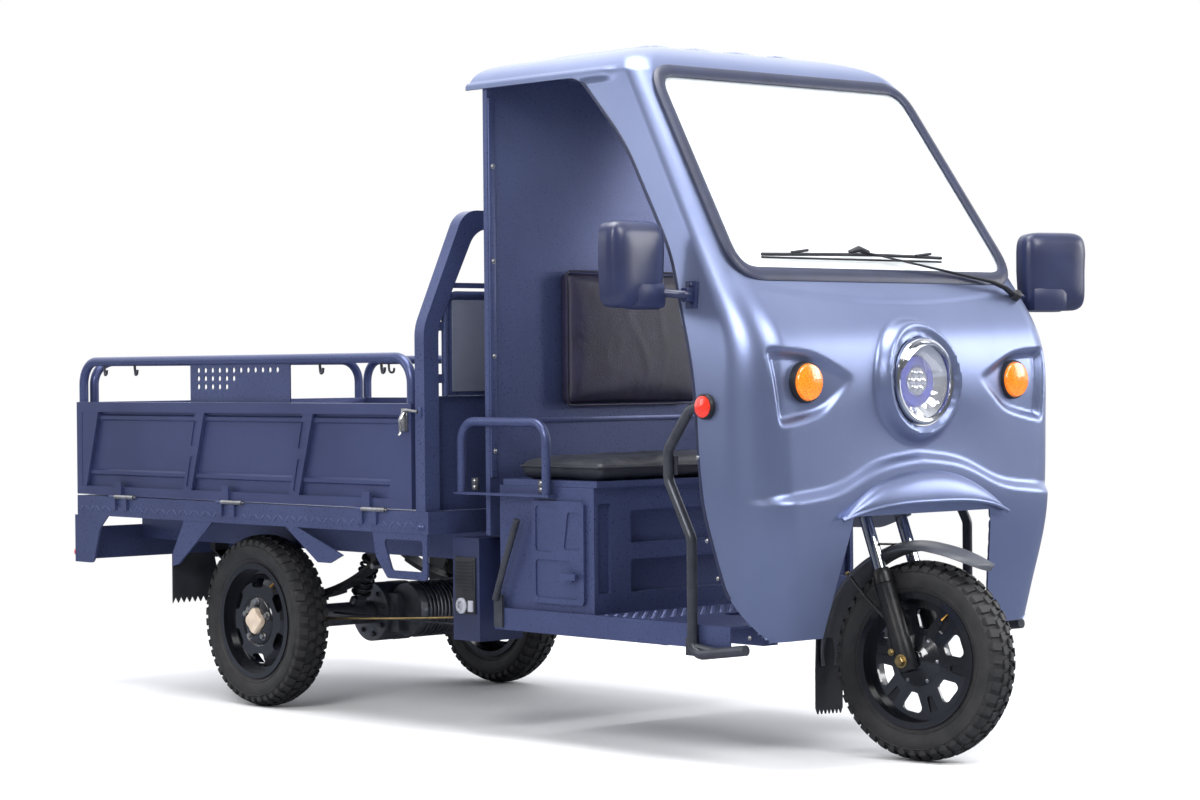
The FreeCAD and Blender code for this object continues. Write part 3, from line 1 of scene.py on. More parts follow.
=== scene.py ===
import json
import math
import bpy
import bmesh
import numpy as np
from mathutils import Matrix, Vector, noise


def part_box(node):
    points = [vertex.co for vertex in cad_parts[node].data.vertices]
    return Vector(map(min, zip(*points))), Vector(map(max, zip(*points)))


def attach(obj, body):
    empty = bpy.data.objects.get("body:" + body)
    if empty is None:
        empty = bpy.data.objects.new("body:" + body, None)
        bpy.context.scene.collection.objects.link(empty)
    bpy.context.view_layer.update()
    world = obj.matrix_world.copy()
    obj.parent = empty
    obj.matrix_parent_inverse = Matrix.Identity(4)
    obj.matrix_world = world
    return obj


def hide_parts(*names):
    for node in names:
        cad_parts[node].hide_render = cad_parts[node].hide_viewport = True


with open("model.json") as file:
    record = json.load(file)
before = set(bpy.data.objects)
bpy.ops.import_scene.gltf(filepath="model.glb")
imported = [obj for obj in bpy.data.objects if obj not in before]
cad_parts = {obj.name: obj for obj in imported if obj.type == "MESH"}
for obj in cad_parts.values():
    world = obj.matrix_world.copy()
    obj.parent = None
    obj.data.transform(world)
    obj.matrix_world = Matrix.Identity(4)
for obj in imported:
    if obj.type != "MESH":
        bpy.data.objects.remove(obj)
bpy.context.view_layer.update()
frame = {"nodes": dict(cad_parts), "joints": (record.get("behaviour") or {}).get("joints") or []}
nodes = frame["nodes"]
joints = {joint["name"]: joint for joint in frame["joints"]}
middle = 773.5  # mm from the rear axle to the middle of the overall length


def at(x, y, z):
    return Vector(((x - middle) / 1000, y / 1000, z / 1000))


def colour(text, alpha=1.0):
    parts = [int(text[i:i + 2], 16) / 255 for i in (1, 3, 5)]
    return tuple(c / 12.92 if c <= 0.04045 else ((c + 0.055) / 1.055) ** 2.4 for c in parts) + (alpha,)


# Camera where the photographer stood
camera = {"place": (6982.1, -5387.9, 972.6), "turn": 48.2, "pitch": -0.5, "roll": -0.5,
          "focal": 2912.0, "width": 1200, "shift": (0.0037, -0.0042)}


def setCamera():
    turn, pitch, roll = (math.radians(camera[k]) for k in ("turn", "pitch", "roll"))
    ahead = Vector((-math.sin(turn) * math.cos(pitch), math.cos(turn) * math.cos(pitch), math.sin(pitch)))
    right = Vector((math.cos(turn), math.sin(turn), 0))
    up = right.cross(ahead)
    right, up = right * math.cos(roll) + up * math.sin(roll), up * math.cos(roll) - right * math.sin(roll)
    lens = bpy.data.cameras.new("photoCamera")
    lens.sensor_width = 36
    lens.lens = camera["focal"] * 36 / camera["width"]
    lens.shift_x, lens.shift_y = camera["shift"]
    lens.clip_end = 200
    holder = bpy.data.objects.new("photoCamera", lens)
    turned = Matrix((right, up, -ahead)).transposed().to_4x4()
    holder.matrix_world = Matrix.Translation(at(*camera["place"])) @ turned
    bpy.context.scene.collection.objects.link(holder)
    bpy.context.scene.camera = holder
    print("camera set")


# Materials
def addNode(tree, kind, settings=None, links=None, values=None):
    item = tree.nodes.new(kind)
    for key, value in (settings or {}).items():
        setattr(item, key, value)
    for key, value in (values or {}).items():
        item.inputs[key].default_value = value
    for key, source in (links or {}).items():
        tree.links.new(source, item.inputs[key])
    return item


def newMaterial(name):
    made = bpy.data.materials.new(name)
    made.use_nodes = True
    tree = made.node_tree
    tree.nodes.clear()
    shader = addNode(tree, "ShaderNodeBsdfPrincipled")
    output = addNode(tree, "ShaderNodeOutputMaterial", links={"Surface": shader.outputs[0]})
    where = addNode(tree, "ShaderNodeTexCoord").outputs["Object"]
    return made, tree, shader, where, output


def mixed(tree, factor, first, second):
    mix = addNode(tree, "ShaderNodeMix", {"data_type": "RGBA"})
    tree.links.new(factor, mix.inputs[0])
    mix.inputs[6].default_value = first
    mix.inputs[7].default_value = second
    return mix.outputs[2]


def spread(tree, source, low, high, newLow=0.0, newHigh=1.0):
    return addNode(tree, "ShaderNodeMapRange", links={0: source},
                   values={1: low, 2: high, 3: newLow, 4: newHigh}).outputs[0]


def surface(name, base, other, rough, metallic=0.0, grain=4.0, relief=0.25, patch=300.0, roughSpread=0.06,
            grainDepth=0.0006, coat=0.0, coatRough=0.1):
    # grain and patch are sizes in mm: grain is the surface's texture, patch its slow change of tone
    made, tree, shader, where, _ = newMaterial(name)
    slow = addNode(tree, "ShaderNodeTexNoise", links={"Vector": where},
                   values={"Scale": 1000 / patch, "Detail": 5.0, "Roughness": 0.55}).outputs[0]
    fine = addNode(tree, "ShaderNodeTexNoise", links={"Vector": where},
                   values={"Scale": 1000 / grain, "Detail": 2.0}).outputs[0]
    tone = mixed(tree, spread(tree, slow, 0.35, 0.65), colour(base), colour(other))
    tree.links.new(tone, shader.inputs["Base Color"])
    tree.links.new(spread(tree, fine, 0.3, 0.7, rough - roughSpread, rough + roughSpread), shader.inputs["Roughness"])
    bump = addNode(tree, "ShaderNodeBump", links={"Height": fine}, values={"Strength": relief,
                                                                           "Distance": grainDepth})
    tree.links.new(bump.outputs[0], shader.inputs["Normal"])
    shader.inputs["Metallic"].default_value = metallic
    if coat:
        shader.inputs["Coat Weight"].default_value = coat
        shader.inputs["Coat Roughness"].default_value = coatRough
    return made


finishes = {}


def makeFinishes():
    f = finishes
    # metallic lacquer on deep-drawn steel: a soft, slightly pebbled sheen
    f["shell"] = surface("metallicLacquerOnSteel", "#7882a2", "#6f799a", 0.35, 0.8, 2.4, 0.14, 420, 0.04, 0.0005)
    # gloss stoving enamel on folded sheet and tube: darker, with orange peel
    f["frame"] = surface("stovingEnamel", "#434c71", "#3d4569", 0.31, 0.45, 5.0, 0.1, 260, 0.05, 0.0005)
    f["gate"] = surface("satinPanelPaint", "#40486e", "#394064", 0.34, 0.5, 5.0, 0.1, 300, 0.06, 0.0005)
    f["plug"] = surface("mouldedSocket", "#8d9099", "#7c7f88", 0.4, 0.0, 1.8, 0.25, 60, 0.06, 0.0003)
    f["axleBlack"] = surface("chassisBlack", "#1b1c20", "#232428", 0.42, 0.1, 5.0, 0.3, 80, 0.08, 0.0006)
    # gloss black enamel on pressed steel and cast spokes
    f["rim"] = surface("glossBlackEnamel", "#101116", "#16171c", 0.16, 0.0, 8.0, 0.12, 90, 0.04, 0.0004, 0.5, 0.06)
    # satin black on bent steel tube, with random patches of brushed grey
    f["tube"] = surface("satinBlackTube", "#30323a", "#3d3f47", 0.34, 0.35, 3.0, 0.2, 60, 0.08, 0.0003)
    # vulcanised rubber: matt, a little grey with road dust
    f["tyre"] = surface("vulcanisedRubber", "#1d1d1f", "#29282a", 0.62, 0.0, 2.2, 0.45, 35, 0.12, 0.0004)
    f["flap"] = surface("rubberSheet", "#1c1e24", "#24262d", 0.7, 0.0, 3.0, 0.4, 60, 0.08, 0.0005)
    f["seal"] = surface("extrudedSealRubber", "#181d35", "#1f2540", 0.42, 0.0, 3.0, 0.2, 80, 0.08, 0.0004)
    # embossed vinyl: fine leather grain
    f["seat"] = surface("embossedVinyl", "#202229", "#2a2c34", 0.47, 0.0, 3.2, 0.8, 70, 0.1, 0.0009)
    f["backrest"] = surface("darkVinyl", "#1d1a2c", "#26223a", 0.45, 0.0, 3.2, 0.8, 90, 0.1, 0.0009)
    # injection-moulded ABS with spark-eroded grain
    f["abs"] = surface("grainedAbs", "#1c213d", "#232947", 0.34, 0.0, 1.6, 0.35, 120, 0.06, 0.0003)
    f["black"] = surface("blackNylon", "#15161b", "#1d1e24", 0.5, 0.0, 1.8, 0.3, 60, 0.08, 0.0003)
    f["guard"] = surface("grainedPolypropylene", "#3d4047", "#484b53", 0.42, 0.0, 2.0, 0.3, 90, 0.08, 0.0003)
    # hard chrome
    f["chrome"] = surface("chromePlate", "#d8dade", "#c8cbd2", 0.08, 1.0, 6.0, 0.05, 50, 0.03, 0.0002)
    # zinc plate with a yellow-white passivation
    f["zinc"] = surface("zincPlate", "#b9bac0", "#a19f98", 0.34, 1.0, 3.0, 0.25, 14, 0.1, 0.0003)
    f["valve"] = surface("turnedBrass", "#b58a4a", "#9c7438", 0.3, 1.0, 2.0, 0.2, 15, 0.08, 0.0002)
    f["brass"] = surface("yellowZinc", "#c0a873", "#a58e62", 0.36, 1.0, 3.0, 0.2, 20, 0.1, 0.0003)
    # sand-cast aluminium
    f["cast"] = surface("sandCastAluminium", "#8b8d92", "#6f7176", 0.5, 0.9, 3.0, 0.7, 60, 0.1, 0.0008)
    f["spring"] = surface("oiledSpringSteel", "#1e1f23", "#2b2a2b", 0.36, 0.5, 4.0, 0.3, 40, 0.1, 0.0004)
    f["cap"] = surface("pressedCap", "#d8c7b4", "#c9b7a4", 0.35, 0.2, 3.0, 0.2, 25, 0.05, 0.0003)
    f["battery"] = surface("batteryCase", "#1f2024", "#26272b", 0.5, 0.0, 2.0, 0.3, 60, 0.06, 0.0003)
    f["amber"] = lensFinish("amberAcrylic", "#f28a1e", "#e2640f", 5.0)
    f["red"] = lensFinish("redAcrylic", "#d8331f", "#a81d14", 4.0)
    f["lampGlass"] = clearFinish("lampPolycarbonate", "#f4f7ff", 0.86)
    # the windscreen is more than half pale coat: a painted reflection that makes the glass read nearly white
    f["screen"] = clearFinish("laminatedGlass", "#eef4f7", 0.42)
    f["blue"] = surface("blueLampRing", "#1f2a9c", "#2a38c0", 0.18, 0.6, 6.0, 0.1, 40, 0.04, 0.0002, 0.6, 0.04)
    f["mirrorGlass"] = surface("silveredGlass", "#e6eaee", "#dfe4ea", 0.03, 1.0, 20.0, 0.02, 200, 0.01, 0.0001)
    f["grey"] = surface("greyPanelSheet", "#4b4f5e", "#565a69", 0.55, 0.0, 2.0, 0.5, 160, 0.06, 0.0004)
    print("finishes made:", len(f))


def lensFinish(name, base, deep, facet):
    # moulded acrylic with prisms facet mm across behind its face; a faint emission in its own colour is a painted glow,
    # since the lamps are unlit
    made, tree, shader, where, _ = newMaterial(name)
    cells = addNode(tree, "ShaderNodeTexVoronoi", {"feature": "F1"}, {"Vector": where},
                    {"Scale": 1000 / facet})
    tone = mixed(tree, spread(tree, cells.outputs["Distance"], 0.1, 0.8), colour(base), colour(deep))
    tree.links.new(tone, shader.inputs["Base Color"])
    tree.links.new(spread(tree, cells.outputs["Distance"], 0.0, 1.0, 0.06, 0.2), shader.inputs["Roughness"])
    bump = addNode(tree, "ShaderNodeBump", links={"Height": cells.outputs["Distance"]},
                   values={"Strength": 0.5, "Distance": 0.001})
    tree.links.new(bump.outputs[0], shader.inputs["Normal"])
    shader.inputs["Coat Weight"].default_value = 0.8
    shader.inputs["Coat Roughness"].default_value = 0.04
    # painted glow: the lens shines faintly in its own colour, though no lamp is lit
    shader.inputs["Emission Color"].default_value = colour(base)
    shader.inputs["Emission Strength"].default_value = 0.12
    return made


def clearFinish(name, tint, see):
    # clear sheet: see is the share of light that goes straight through; the rest is a pale tinted coat, a painted
    # reflection of the bright room
    made, tree, shader, where, output = newMaterial(name)
    slow = addNode(tree, "ShaderNodeTexNoise", links={"Vector": where}, values={"Scale": 3.0}).outputs[0]
    tree.links.new(spread(tree, slow, 0.3, 0.7, 0.03, 0.07), shader.inputs["Roughness"])
    shader.inputs["Base Color"].default_value = colour(tint)
    clear = addNode(tree, "ShaderNodeBsdfTransparent")
    mix = addNode(tree, "ShaderNodeMixShader", values={0: see},
                  links={1: shader.outputs[0], 2: clear.outputs[0]})
    tree.links.new(mix.outputs[0], output.inputs["Surface"])
    return made


# Mesh helpers
def makePiece(name, points, faces, finish, body, slot, replaced=(), smooth=True, fix=True, sharp=35):
    mesh = bpy.data.meshes.new(name)
    mesh.from_pydata([tuple(p) for p in points], [], faces)
    if fix:
        work = bmesh.new()
        work.from_mesh(mesh)
        bmesh.ops.remove_doubles(work, verts=work.verts, dist=1e-5)
        bmesh.ops.recalc_face_normals(work, faces=work.faces)
        work.to_mesh(mesh)
        work.free()
    return makeObject(name, mesh, finish, body, replaced, smooth, sharp)


def makeObject(name, mesh, finish, body, replaced=(), smooth=True, sharp=35):
    mesh.materials.clear()
    mesh.materials.append(finishes[finish])
    piece = bpy.data.objects.new(name, mesh)
    bpy.context.scene.collection.objects.link(piece)
    if smooth:
        mesh.shade_smooth()
        mesh.set_sharp_from_angle(angle=math.radians(sharp))
    if body:
        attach(piece, body)
        if replaced:
            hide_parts(*replaced)
    return piece


def withModifiers(piece, *modifiers):
    for kind, settings in modifiers:
        modifier = piece.modifiers.new(kind, kind)
        for key, value in settings.items():
            setattr(modifier, key, value)
    graph = bpy.context.evaluated_depsgraph_get()
    fresh = bpy.data.meshes.new_from_object(piece.evaluated_get(graph))
    piece.modifiers.clear()
    old = piece.data
    piece.data = fresh
    bpy.data.meshes.remove(old)
    return piece


def joinParts(parts):
    points, faces = [], []
    for somePoints, someFaces in parts:
        start = len(points)
        points.extend(somePoints)
        faces.extend([tuple(i + start for i in face) for face in someFaces])
    return points, faces


def axes(direction):
    along = Vector(direction).normalized()
    side = along.cross(Vector((0, 0, 1)))
    if side.length < 0.1:
        side = Vector((0, 1, 0))
    side.normalize()
    return side, along.cross(side).normalized() * 1, along


def lathe(profile, centre, direction, steps=48, start=0.0, sweep=360.0):
    # profile: (distance along the axis, radius) in mm
    side, up, along = axes(direction)
    points, faces = [], []
    whole = sweep >= 359.9
    count = steps if whole else steps + 1
    for reach, radius in profile:
        for k in range(count):
            angle = math.radians(start + sweep * k / steps)
            points.append(Vector(centre) + (along * reach + side * (radius * math.cos(angle))
                                            + up * (radius * math.sin(angle))) / 1000)
    for i in range(len(profile) - 1):
        for k in range(steps):
            j = (k + 1) % count
            faces.append((i * count + k, i * count + j, (i + 1) * count + j, (i + 1) * count + k))
    return points, faces


def tube(path, radius, steps=12, closed=False, flat=1.0):
    # path in metres; radius in mm, one number or one for each point
    path = [Vector(p) for p in path]
    count = len(path)
    radii = radius if isinstance(radius, (list, tuple)) else [radius] * count
    points, faces = [], []
    side = None
    for i, here in enumerate(path):
        before = path[i - 1] if i or closed else here
        after = path[(i + 1) % count] if i < count - 1 or closed else here
        ahead = (after - before).normalized()
        if side is None:
            side = axes(ahead)[0]
        side = (side - ahead * side.dot(ahead)).normalized()
        up = ahead.cross(side)
        for k in range(steps):
            angle = 2 * math.pi * k / steps
            points.append(here + (side * math.cos(angle) + up * math.sin(angle) * flat) * radii[i] / 1000)
    spans = count if closed else count - 1
    for i in range(spans):
        for k in range(steps):
            j = (k + 1) % steps
            m = (i + 1) % count
            faces.append((i * steps + k, i * steps + j, m * steps + j, m * steps + k))
    if not closed:
        faces.append(tuple(range(steps))[::-1])
        faces.append(tuple((count - 1) * steps + k for k in range(steps)))
    return points, faces


def smoothPath(points, between=6):
    # Catmull-Rom line through the points
    points = [Vector(p) for p in points]
    ends = [points[0] * 2 - points[1]] + points + [points[-1] * 2 - points[-2]]
    line = []
    for i in range(1, len(ends) - 2):
        a, b, c, d = ends[i - 1:i + 3]
        for k in range(between):
            t = k / between
            line.append(0.5 * ((2 * b) + (c - a) * t + (2 * a - 5 * b + 4 * c - d) * t * t
                               + (3 * b - a - 3 * c + d) * t ** 3))
    line.append(points[-1])
    return line


def slab(centre, size, turn=None, bevel=0.0):
    # a box with its vertical and level edges chamfered by bevel mm
    work = bmesh.new()
    bmesh.ops.create_cube(work, size=1.0)
    for v in work.verts:
        v.co = Vector((v.co.x * size[0], v.co.y * size[1], v.co.z * size[2])) / 1000
    if bevel:
        bmesh.ops.bevel(work, geom=list(work.edges), offset=bevel / 1000, segments=2, profile=0.6,
                        affect="EDGES")
    spin = (turn or Matrix.Identity(3)).to_4x4()
    points = [spin @ v.co + Vector(centre) for v in work.verts]
    work.verts.index_update()
    faces = [tuple(v.index for v in f.verts) for f in work.faces]
    work.free()
    return points, faces


def arrayTree(name):
    # copies of a unit turned about Y or stepped along a vector, made real, with one material
    tree = bpy.data.node_groups.new(name, "GeometryNodeTree")
    face = tree.interface
    face.new_socket("Geometry", in_out="INPUT", socket_type="NodeSocketGeometry")
    face.new_socket("Count", in_out="INPUT", socket_type="NodeSocketInt")
    face.new_socket("Step", in_out="INPUT", socket_type="NodeSocketVector")
    face.new_socket("Turn", in_out="INPUT", socket_type="NodeSocketFloat")
    face.new_socket("Material", in_out="INPUT", socket_type="NodeSocketMaterial")
    face.new_socket("Geometry", in_out="OUTPUT", socket_type="NodeSocketGeometry")
    given = addNode(tree, "NodeGroupInput").outputs
    line = addNode(tree, "GeometryNodeMeshLine", {"mode": "OFFSET"}, {"Count": given[1], "Offset": given[2]})
    index = addNode(tree, "GeometryNodeInputIndex")
    angle = addNode(tree, "ShaderNodeMath", {"operation": "MULTIPLY"}, {0: index.outputs[0], 1: given[3]})
    turn = addNode(tree, "ShaderNodeCombineXYZ", links={1: angle.outputs[0]})
    copies = addNode(tree, "GeometryNodeInstanceOnPoints",
                     links={"Points": line.outputs[0], "Instance": given[0], "Rotation": turn.outputs[0]})
    real = addNode(tree, "GeometryNodeRealizeInstances", links={0: copies.outputs[0]})
    painted = addNode(tree, "GeometryNodeSetMaterial", links={"Geometry": real.outputs[0], "Material": given[4]})
    addNode(tree, "NodeGroupOutput", links={0: painted.outputs[0]})
    return tree


def repeated(unit, count, finish, step=(0, 0, 0), turn=0.0):
    # the unit's points and faces, copied by the array tree
    tree = bpy.data.node_groups.get("rowOrRing") or arrayTree("rowOrRing")
    mesh = bpy.data.meshes.new("unit")
    mesh.from_pydata([tuple(p) for p in unit[0]], [], unit[1])
    holder = bpy.data.objects.new("unit", mesh)
    bpy.context.scene.collection.objects.link(holder)
    modifier = holder.modifiers.new("copies", "NODES")
    modifier.node_group = tree
    names = {item.name: item.identifier for item in tree.interface.items_tree if item.in_out == "INPUT"}
    modifier[names["Count"]] = count
    modifier[names["Step"]] = step
    modifier[names["Turn"]] = turn
    modifier[names["Material"]] = finishes[finish]
    graph = bpy.context.evaluated_depsgraph_get()
    result = bpy.data.meshes.new_from_object(holder.evaluated_get(graph))
    points = [v.co.copy() for v in result.vertices]
    faces = [tuple(p.vertices) for p in result.polygons]
    bpy.data.objects.remove(holder)
    bpy.data.meshes.remove(mesh)
    bpy.data.meshes.remove(result)
    return points, faces


def moved(part, matrix):
    return [matrix @ p for p in part[0]], part[1]


# The cab's outer form: height, front, half width and corner radius of each level, mm
cab = {"levels": ((318, 2108, 515, 105), (640, 2156, 556, 120), (850, 2152, 566, 120), (1060, 2126, 559, 105),
                  (1190, 2034, 546, 78)),
       "eave": (1722, 1676, 490, 60), "roof": ((0, 0, 0), (36, 34, -32), (62, 90, -104), (80, 180, -212),
                                               (88, 290, -330), (89, 320, -489)),
       "back": 1006, "skin": 6}
lampCone = {"height": 937, "hole": 111, "crest": 129, "foot": 158, "rise": 30}
creaseLine = {"base": 700, "fall": 45, "half": 540, "hump": 53, "humpWidth": 245, "rise": 19, "band": 13}
signalDish = {"corners": ((-506, 1018), (-478, 834), (-330, 862), (-226, 946), (-370, 1010)), "depth": 24, "edge": 21}


def naturalSpline(xs, ys):
    count = len(xs)
    matrix, right = np.zeros((count, count)), np.zeros(count)
    matrix[0, 0] = matrix[-1, -1] = 1
    h = np.diff(xs)
    for i in range(1, count - 1):
        matrix[i, i - 1:i + 2] = h[i - 1], 2 * (h[i - 1] + h[i]), h[i]
        right[i] = 6 * ((ys[i + 1] - ys[i]) / h[i] - (ys[i] - ys[i - 1]) / h[i - 1])
    bend = np.linalg.solve(matrix, right)

    def value(x):
        i = int(np.clip(np.searchsorted(xs, x) - 1, 0, count - 2))
        a, b = xs[i + 1] - x, x - xs[i]
        return (bend[i] * a ** 3 + bend[i + 1] * b ** 3) / (6 * h[i]) + (
            ys[i] / h[i] - bend[i] * h[i] / 6) * a + (ys[i + 1] / h[i] - bend[i + 1] * h[i] / 6) * b
    return value


def levelCurves(levels):
    columns = np.array(levels, float)
    return [naturalSpline(columns[:, 0], columns[:, k]) for k in (1, 2, 3)]


lowerCurves = levelCurves(cab["levels"])


def cabLevel(z):
    top, base = cab["eave"], cab["levels"][-1]
    if z <= base[0]:
        return tuple(curve(z) for curve in lowerCurves)
    share = min((z - base[0]) / (top[0] - base[0]), 1.0)
    return tuple(base[k] + (top[k] - base[k]) * share for k in (1, 2, 3))


def sideY(x, z):
    front, half, corner = cabLevel(z)
    over = x - (front - corner)
    return half if over <= 0 else half - corner + math.sqrt(max(corner ** 2 - over ** 2, 0))


def smoothStep(t):
    t = np.clip(t, 0, 1)
    return t * t * (3 - 2 * t)


def pressing(y, z):
    # how far the press work stands proud of the plain form, mm, for arrays of y and z
    far = np.hypot(y, z - lampCone["height"])
    share = (lampCone["foot"] - far) / (lampCone["foot"] - lampCone["crest"])
    out = lampCone["rise"] * smoothStep(share) * (1 - 0.35 * smoothStep((lampCone["crest"] - far) / 18))
    c = creaseLine
    line = c["base"] - c["fall"] * np.abs(y) / c["half"] + c["hump"] * np.exp(-(y / c["humpWidth"]) ** 4)
    below = line - z
    step = smoothStep((below + c["band"]) / (2 * c["band"]))
    fade = np.where(below < 0, smoothStep((below + 190) / 170), smoothStep((260 - below) / 230))
    edge = smoothStep((560 - np.abs(y)) / 110)
    out = out + (c["rise"] * step - 5) * fade * edge
    side = -np.abs(y)
    inside = np.full(y.shape, 1e9)
    corners = signalDish["corners"]
    for k, (ay, az) in enumerate(corners):
        by, bz = corners[(k + 1) % len(corners)]
        length = math.hypot(by - ay, bz - az)
        distance = ((by - ay) * (z - az) - (bz - az) * (side - ay)) / length
        inside = -np.log(np.exp(-np.clip(inside, -60, 400) / 7) + np.exp(-np.clip(distance, -60, 400) / 7)) * 7
    inside = inside + 6
    deep = signalDish["depth"] * smoothStep((corners[3][0] - side) / 230 + 0.15)
    out = out - deep * smoothStep(inside / signalDish["edge"])
    ledge = 1128 + 34 * (np.abs(y) / 440) ** 2
    out = out + 3.5 * smoothStep((z - ledge) / 9) * smoothStep((1200 - z) / 20) * smoothStep((500 - np.abs(y)) / 60)
    return out


def insideOutline(points, outline):
    # signed distance, mm, and nearest outline point for an array of 2-D points; positive inside
    best = np.full(len(points), 1e9)
    nearest = np.zeros_like(points)
    inside = np.zeros(len(points), bool)
    ring = np.array(outline, float)
    for a, b in zip(ring, np.roll(ring, -1, 0)):
        span = b - a
        t = np.clip(((points - a) @ span) / (span @ span), 0, 1)
        foot = a + t[:, None] * span
        far = np.hypot(*(points - foot).T)
        better = far < best
        best[better] = far[better]
        nearest[better] = foot[better]
        crosses = (a[1] > points[:, 1]) != (b[1] > points[:, 1])
        with np.errstate(divide="ignore", invalid="ignore"):
            left = points[:, 0] < a[0] + (points[:, 1] - a[1]) * span[0] / span[1]
        inside ^= crosses & left
    return np.where(inside, best, -best), nearest


def roundedOutline(corners, steps=8):
    # corners: (a, b, radius); tangent arcs between straight runs
    ring = []
    count = len(corners)
    for i, (x, y, radius) in enumerate(corners):
        here = Vector((x, y))
        before = Vector(corners[i - 1][:2]) - here
        after = Vector(corners[(i + 1) % count][:2]) - here
        if radius <= 0:
            ring.append(tuple(here))
            continue
        half = before.angle(after) / 2
        reach = radius / math.tan(half)
        reach = min(reach, before.length * 0.48, after.length * 0.48)
        start, end = here + before.normalized() * reach, here + after.normalized() * reach
        for k in range(steps + 1):
            t = k / steps
            a, b = start.lerp(here, t), here.lerp(end, t)
            ring.append(tuple(a.lerp(b, t)))
    return ring


doorway = roundedOutline(((900, 1714, 0), (1452, 1714, 95), (1640, 1540, 700), (1838, 1255, 500),
                          (1943, 960, 700), (1960, 640, 400), (2010, 440, 120), (2100, 313, 0), (2100, 200, 0),
                          (900, 200, 0)))
screenPlan = {"lowHeight": 1203, "highHeight": 1709, "lowHalf": 494, "highHalf": 445, "corner": 62}
wheelArch = [(-305, 200), (305, 200), (305, 298), (250, 612), (-250, 612), (-305, 298)]


def screenOutline(margin):
    s = screenPlan
    low, high = s["lowHeight"] - margin * 0.83, s["highHeight"] + margin * 0.83
    corner = s["corner"] + margin
    return roundedOutline(((-s["lowHalf"] - margin, low, corner), (s["lowHalf"] + margin, low, corner),
                           (s["highHalf"] + margin, high, corner), (-s["highHalf"] - margin, high, corner)))


def buildShell():
    rows = list(np.linspace(318, 1190, 134)[:-1]) + list(np.linspace(1190, 1722, 66))
    grid = []
    sideCount, cornerCount, frontCount = 72, 30, 124
    for z in rows:
        grid.append(levelPoints(z, *cabLevel(z), sideCount, cornerCount, frontCount))
    top, front, half, corner = cab["eave"]
    curves = naturalRoof()
    for t in np.linspace(0, 5, 36)[1:]:
        rise, back, spread = (curve(t) for curve in curves)
        grid.append(levelPoints(top + rise, front - back, max(half + spread, 0.5), min(corner, max(half + spread, 1)),
                                sideCount, cornerCount, frontCount))
    grid = np.array(grid)
    height, width = grid.shape[:2]
    points = grid.reshape(-1, 3)
    normals = gridNormals(grid).reshape(-1, 3)
    facing = smoothStep((normals[:, 0] - 0.15) / 0.35)
    lower = points[:, 2] < 1240
    shift = np.where(lower, pressing(points[:, 1], points[:, 2]) * facing, 0)
    # beads along the roof
    upper = points[:, 2] > 1762
    for y in (-225, -75, 75, 225):
        bead = smoothStep((30 - np.abs(points[:, 1] - y)) / 14) * smoothStep((1500 - points[:, 0]) / 40) * smoothStep(
            (points[:, 0] - 1050) / 40)
        shift = shift + np.where(upper, 7 * bead, 0)
    # drip rail: the rear edge of the roof stands out and the eave has a soft gutter
    gutter = smoothStep((points[:, 2] - 1700) / 8) * smoothStep((1734 - points[:, 2]) / 8)
    shift = shift + np.where(points[:, 2] > 1695, 7 * gutter * smoothStep((1600 - points[:, 0]) / 60), 0)
    points = points + normals * shift[:, None]
    keep = np.ones(len(points), bool)
    sides = points[:, [0, 2]]
    isSide = (np.abs(normals[:, 1]) > 0.35) | (points[:, 0] < cabFrontLimit(points))
    cuts = [(sides, doorway, isSide, (0, 2)),
            (points[:, [1, 2]], screenOutline(-2), points[:, 0] > 1600, (1, 2)),
            (points[:, [1, 2]], wheelArch, points[:, 0] > 1900, (1, 2)),
            (points[:, [1, 2]], [(lampCone["hole"] * math.cos(a), lampCone["height"] + lampCone["hole"] * math.sin(a))
                                 for a in np.linspace(0, 2 * math.pi, 72, endpoint=False)],
             points[:, 0] > 2000, (1, 2))]
    reach = 5.0
    for flat, outline, valid, columns in cuts:
        signed, nearest = insideOutline(flat, outline)
        near = valid & (np.abs(signed) < reach)
        for n, column in enumerate(columns):
            points[near, column] = nearest[near, n]
        keep &= ~(valid & (signed > reach))
    faces = []
    alive = keep.reshape(height, width)
    for i in range(height - 1):
        for k in range(width - 1):
            if alive[i, k] and alive[i, k + 1] and alive[i + 1, k] and alive[i + 1, k + 1]:
                a = i * width + k
                faces.append((a, a + 1, a + width + 1, a + width))
    used = sorted({i for face in faces for i in face})
    number = {old: new for new, old in enumerate(used)}
    faces = [tuple(number[i] for i in face) for face in faces]
    piece = makePiece("cabSkin", [at(*points[i]) for i in used], faces, "shell", "chassis", "body_paint",
                      fix=True, sharp=50)
    flipOutwards(piece.data, at(1500, 0, 1100))
    withModifiers(piece, ("SOLIDIFY", {"thickness": cab["skin"] / 1000, "offset": -1.0}))
    piece.data.shade_smooth()
    piece.data.set_sharp_from_angle(angle=math.radians(50))
    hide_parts("cab_shell")
    print("cab shell:", len(piece.data.polygons), "faces")
    return piece


def cabFrontLimit(points):
    # a side vertex lies behind the middle of the corner's arc
    limit = np.array([(lambda f, h, c: f - c * 0.35)(*cabLevel(z)) for z in points[:, 2]])
    return limit


def naturalRoof():
    columns = np.array(cab["roof"], float)
    return [naturalSpline(np.arange(len(columns), dtype=float), columns[:, k]) for k in range(3)]


def levelPoints(z, front, half, corner, sideCount, cornerCount, frontCount):
    ring = []
    places = sidePlaces(front - corner, sideCount)
    for x in places[:-1]:
        ring.append((x, -half, z))
    for k in range(cornerCount):
        a = -math.pi / 2 + math.pi / 2 * k / cornerCount
        ring.append((front - corner + corner * math.cos(a), -half + corner + corner * math.sin(a), z))
    flat = half - corner
    for k in range(frontCount):
        y = -flat + 2 * flat * k / frontCount
        ring.append((front, y, z))
    for k in range(cornerCount):
        a = math.pi / 2 * k / cornerCount
        ring.append((front - corner + corner * math.cos(a), half - corner + corner * math.sin(a), z))
    for x in places[::-1]:
        ring.append((x, half, z))
    return ring


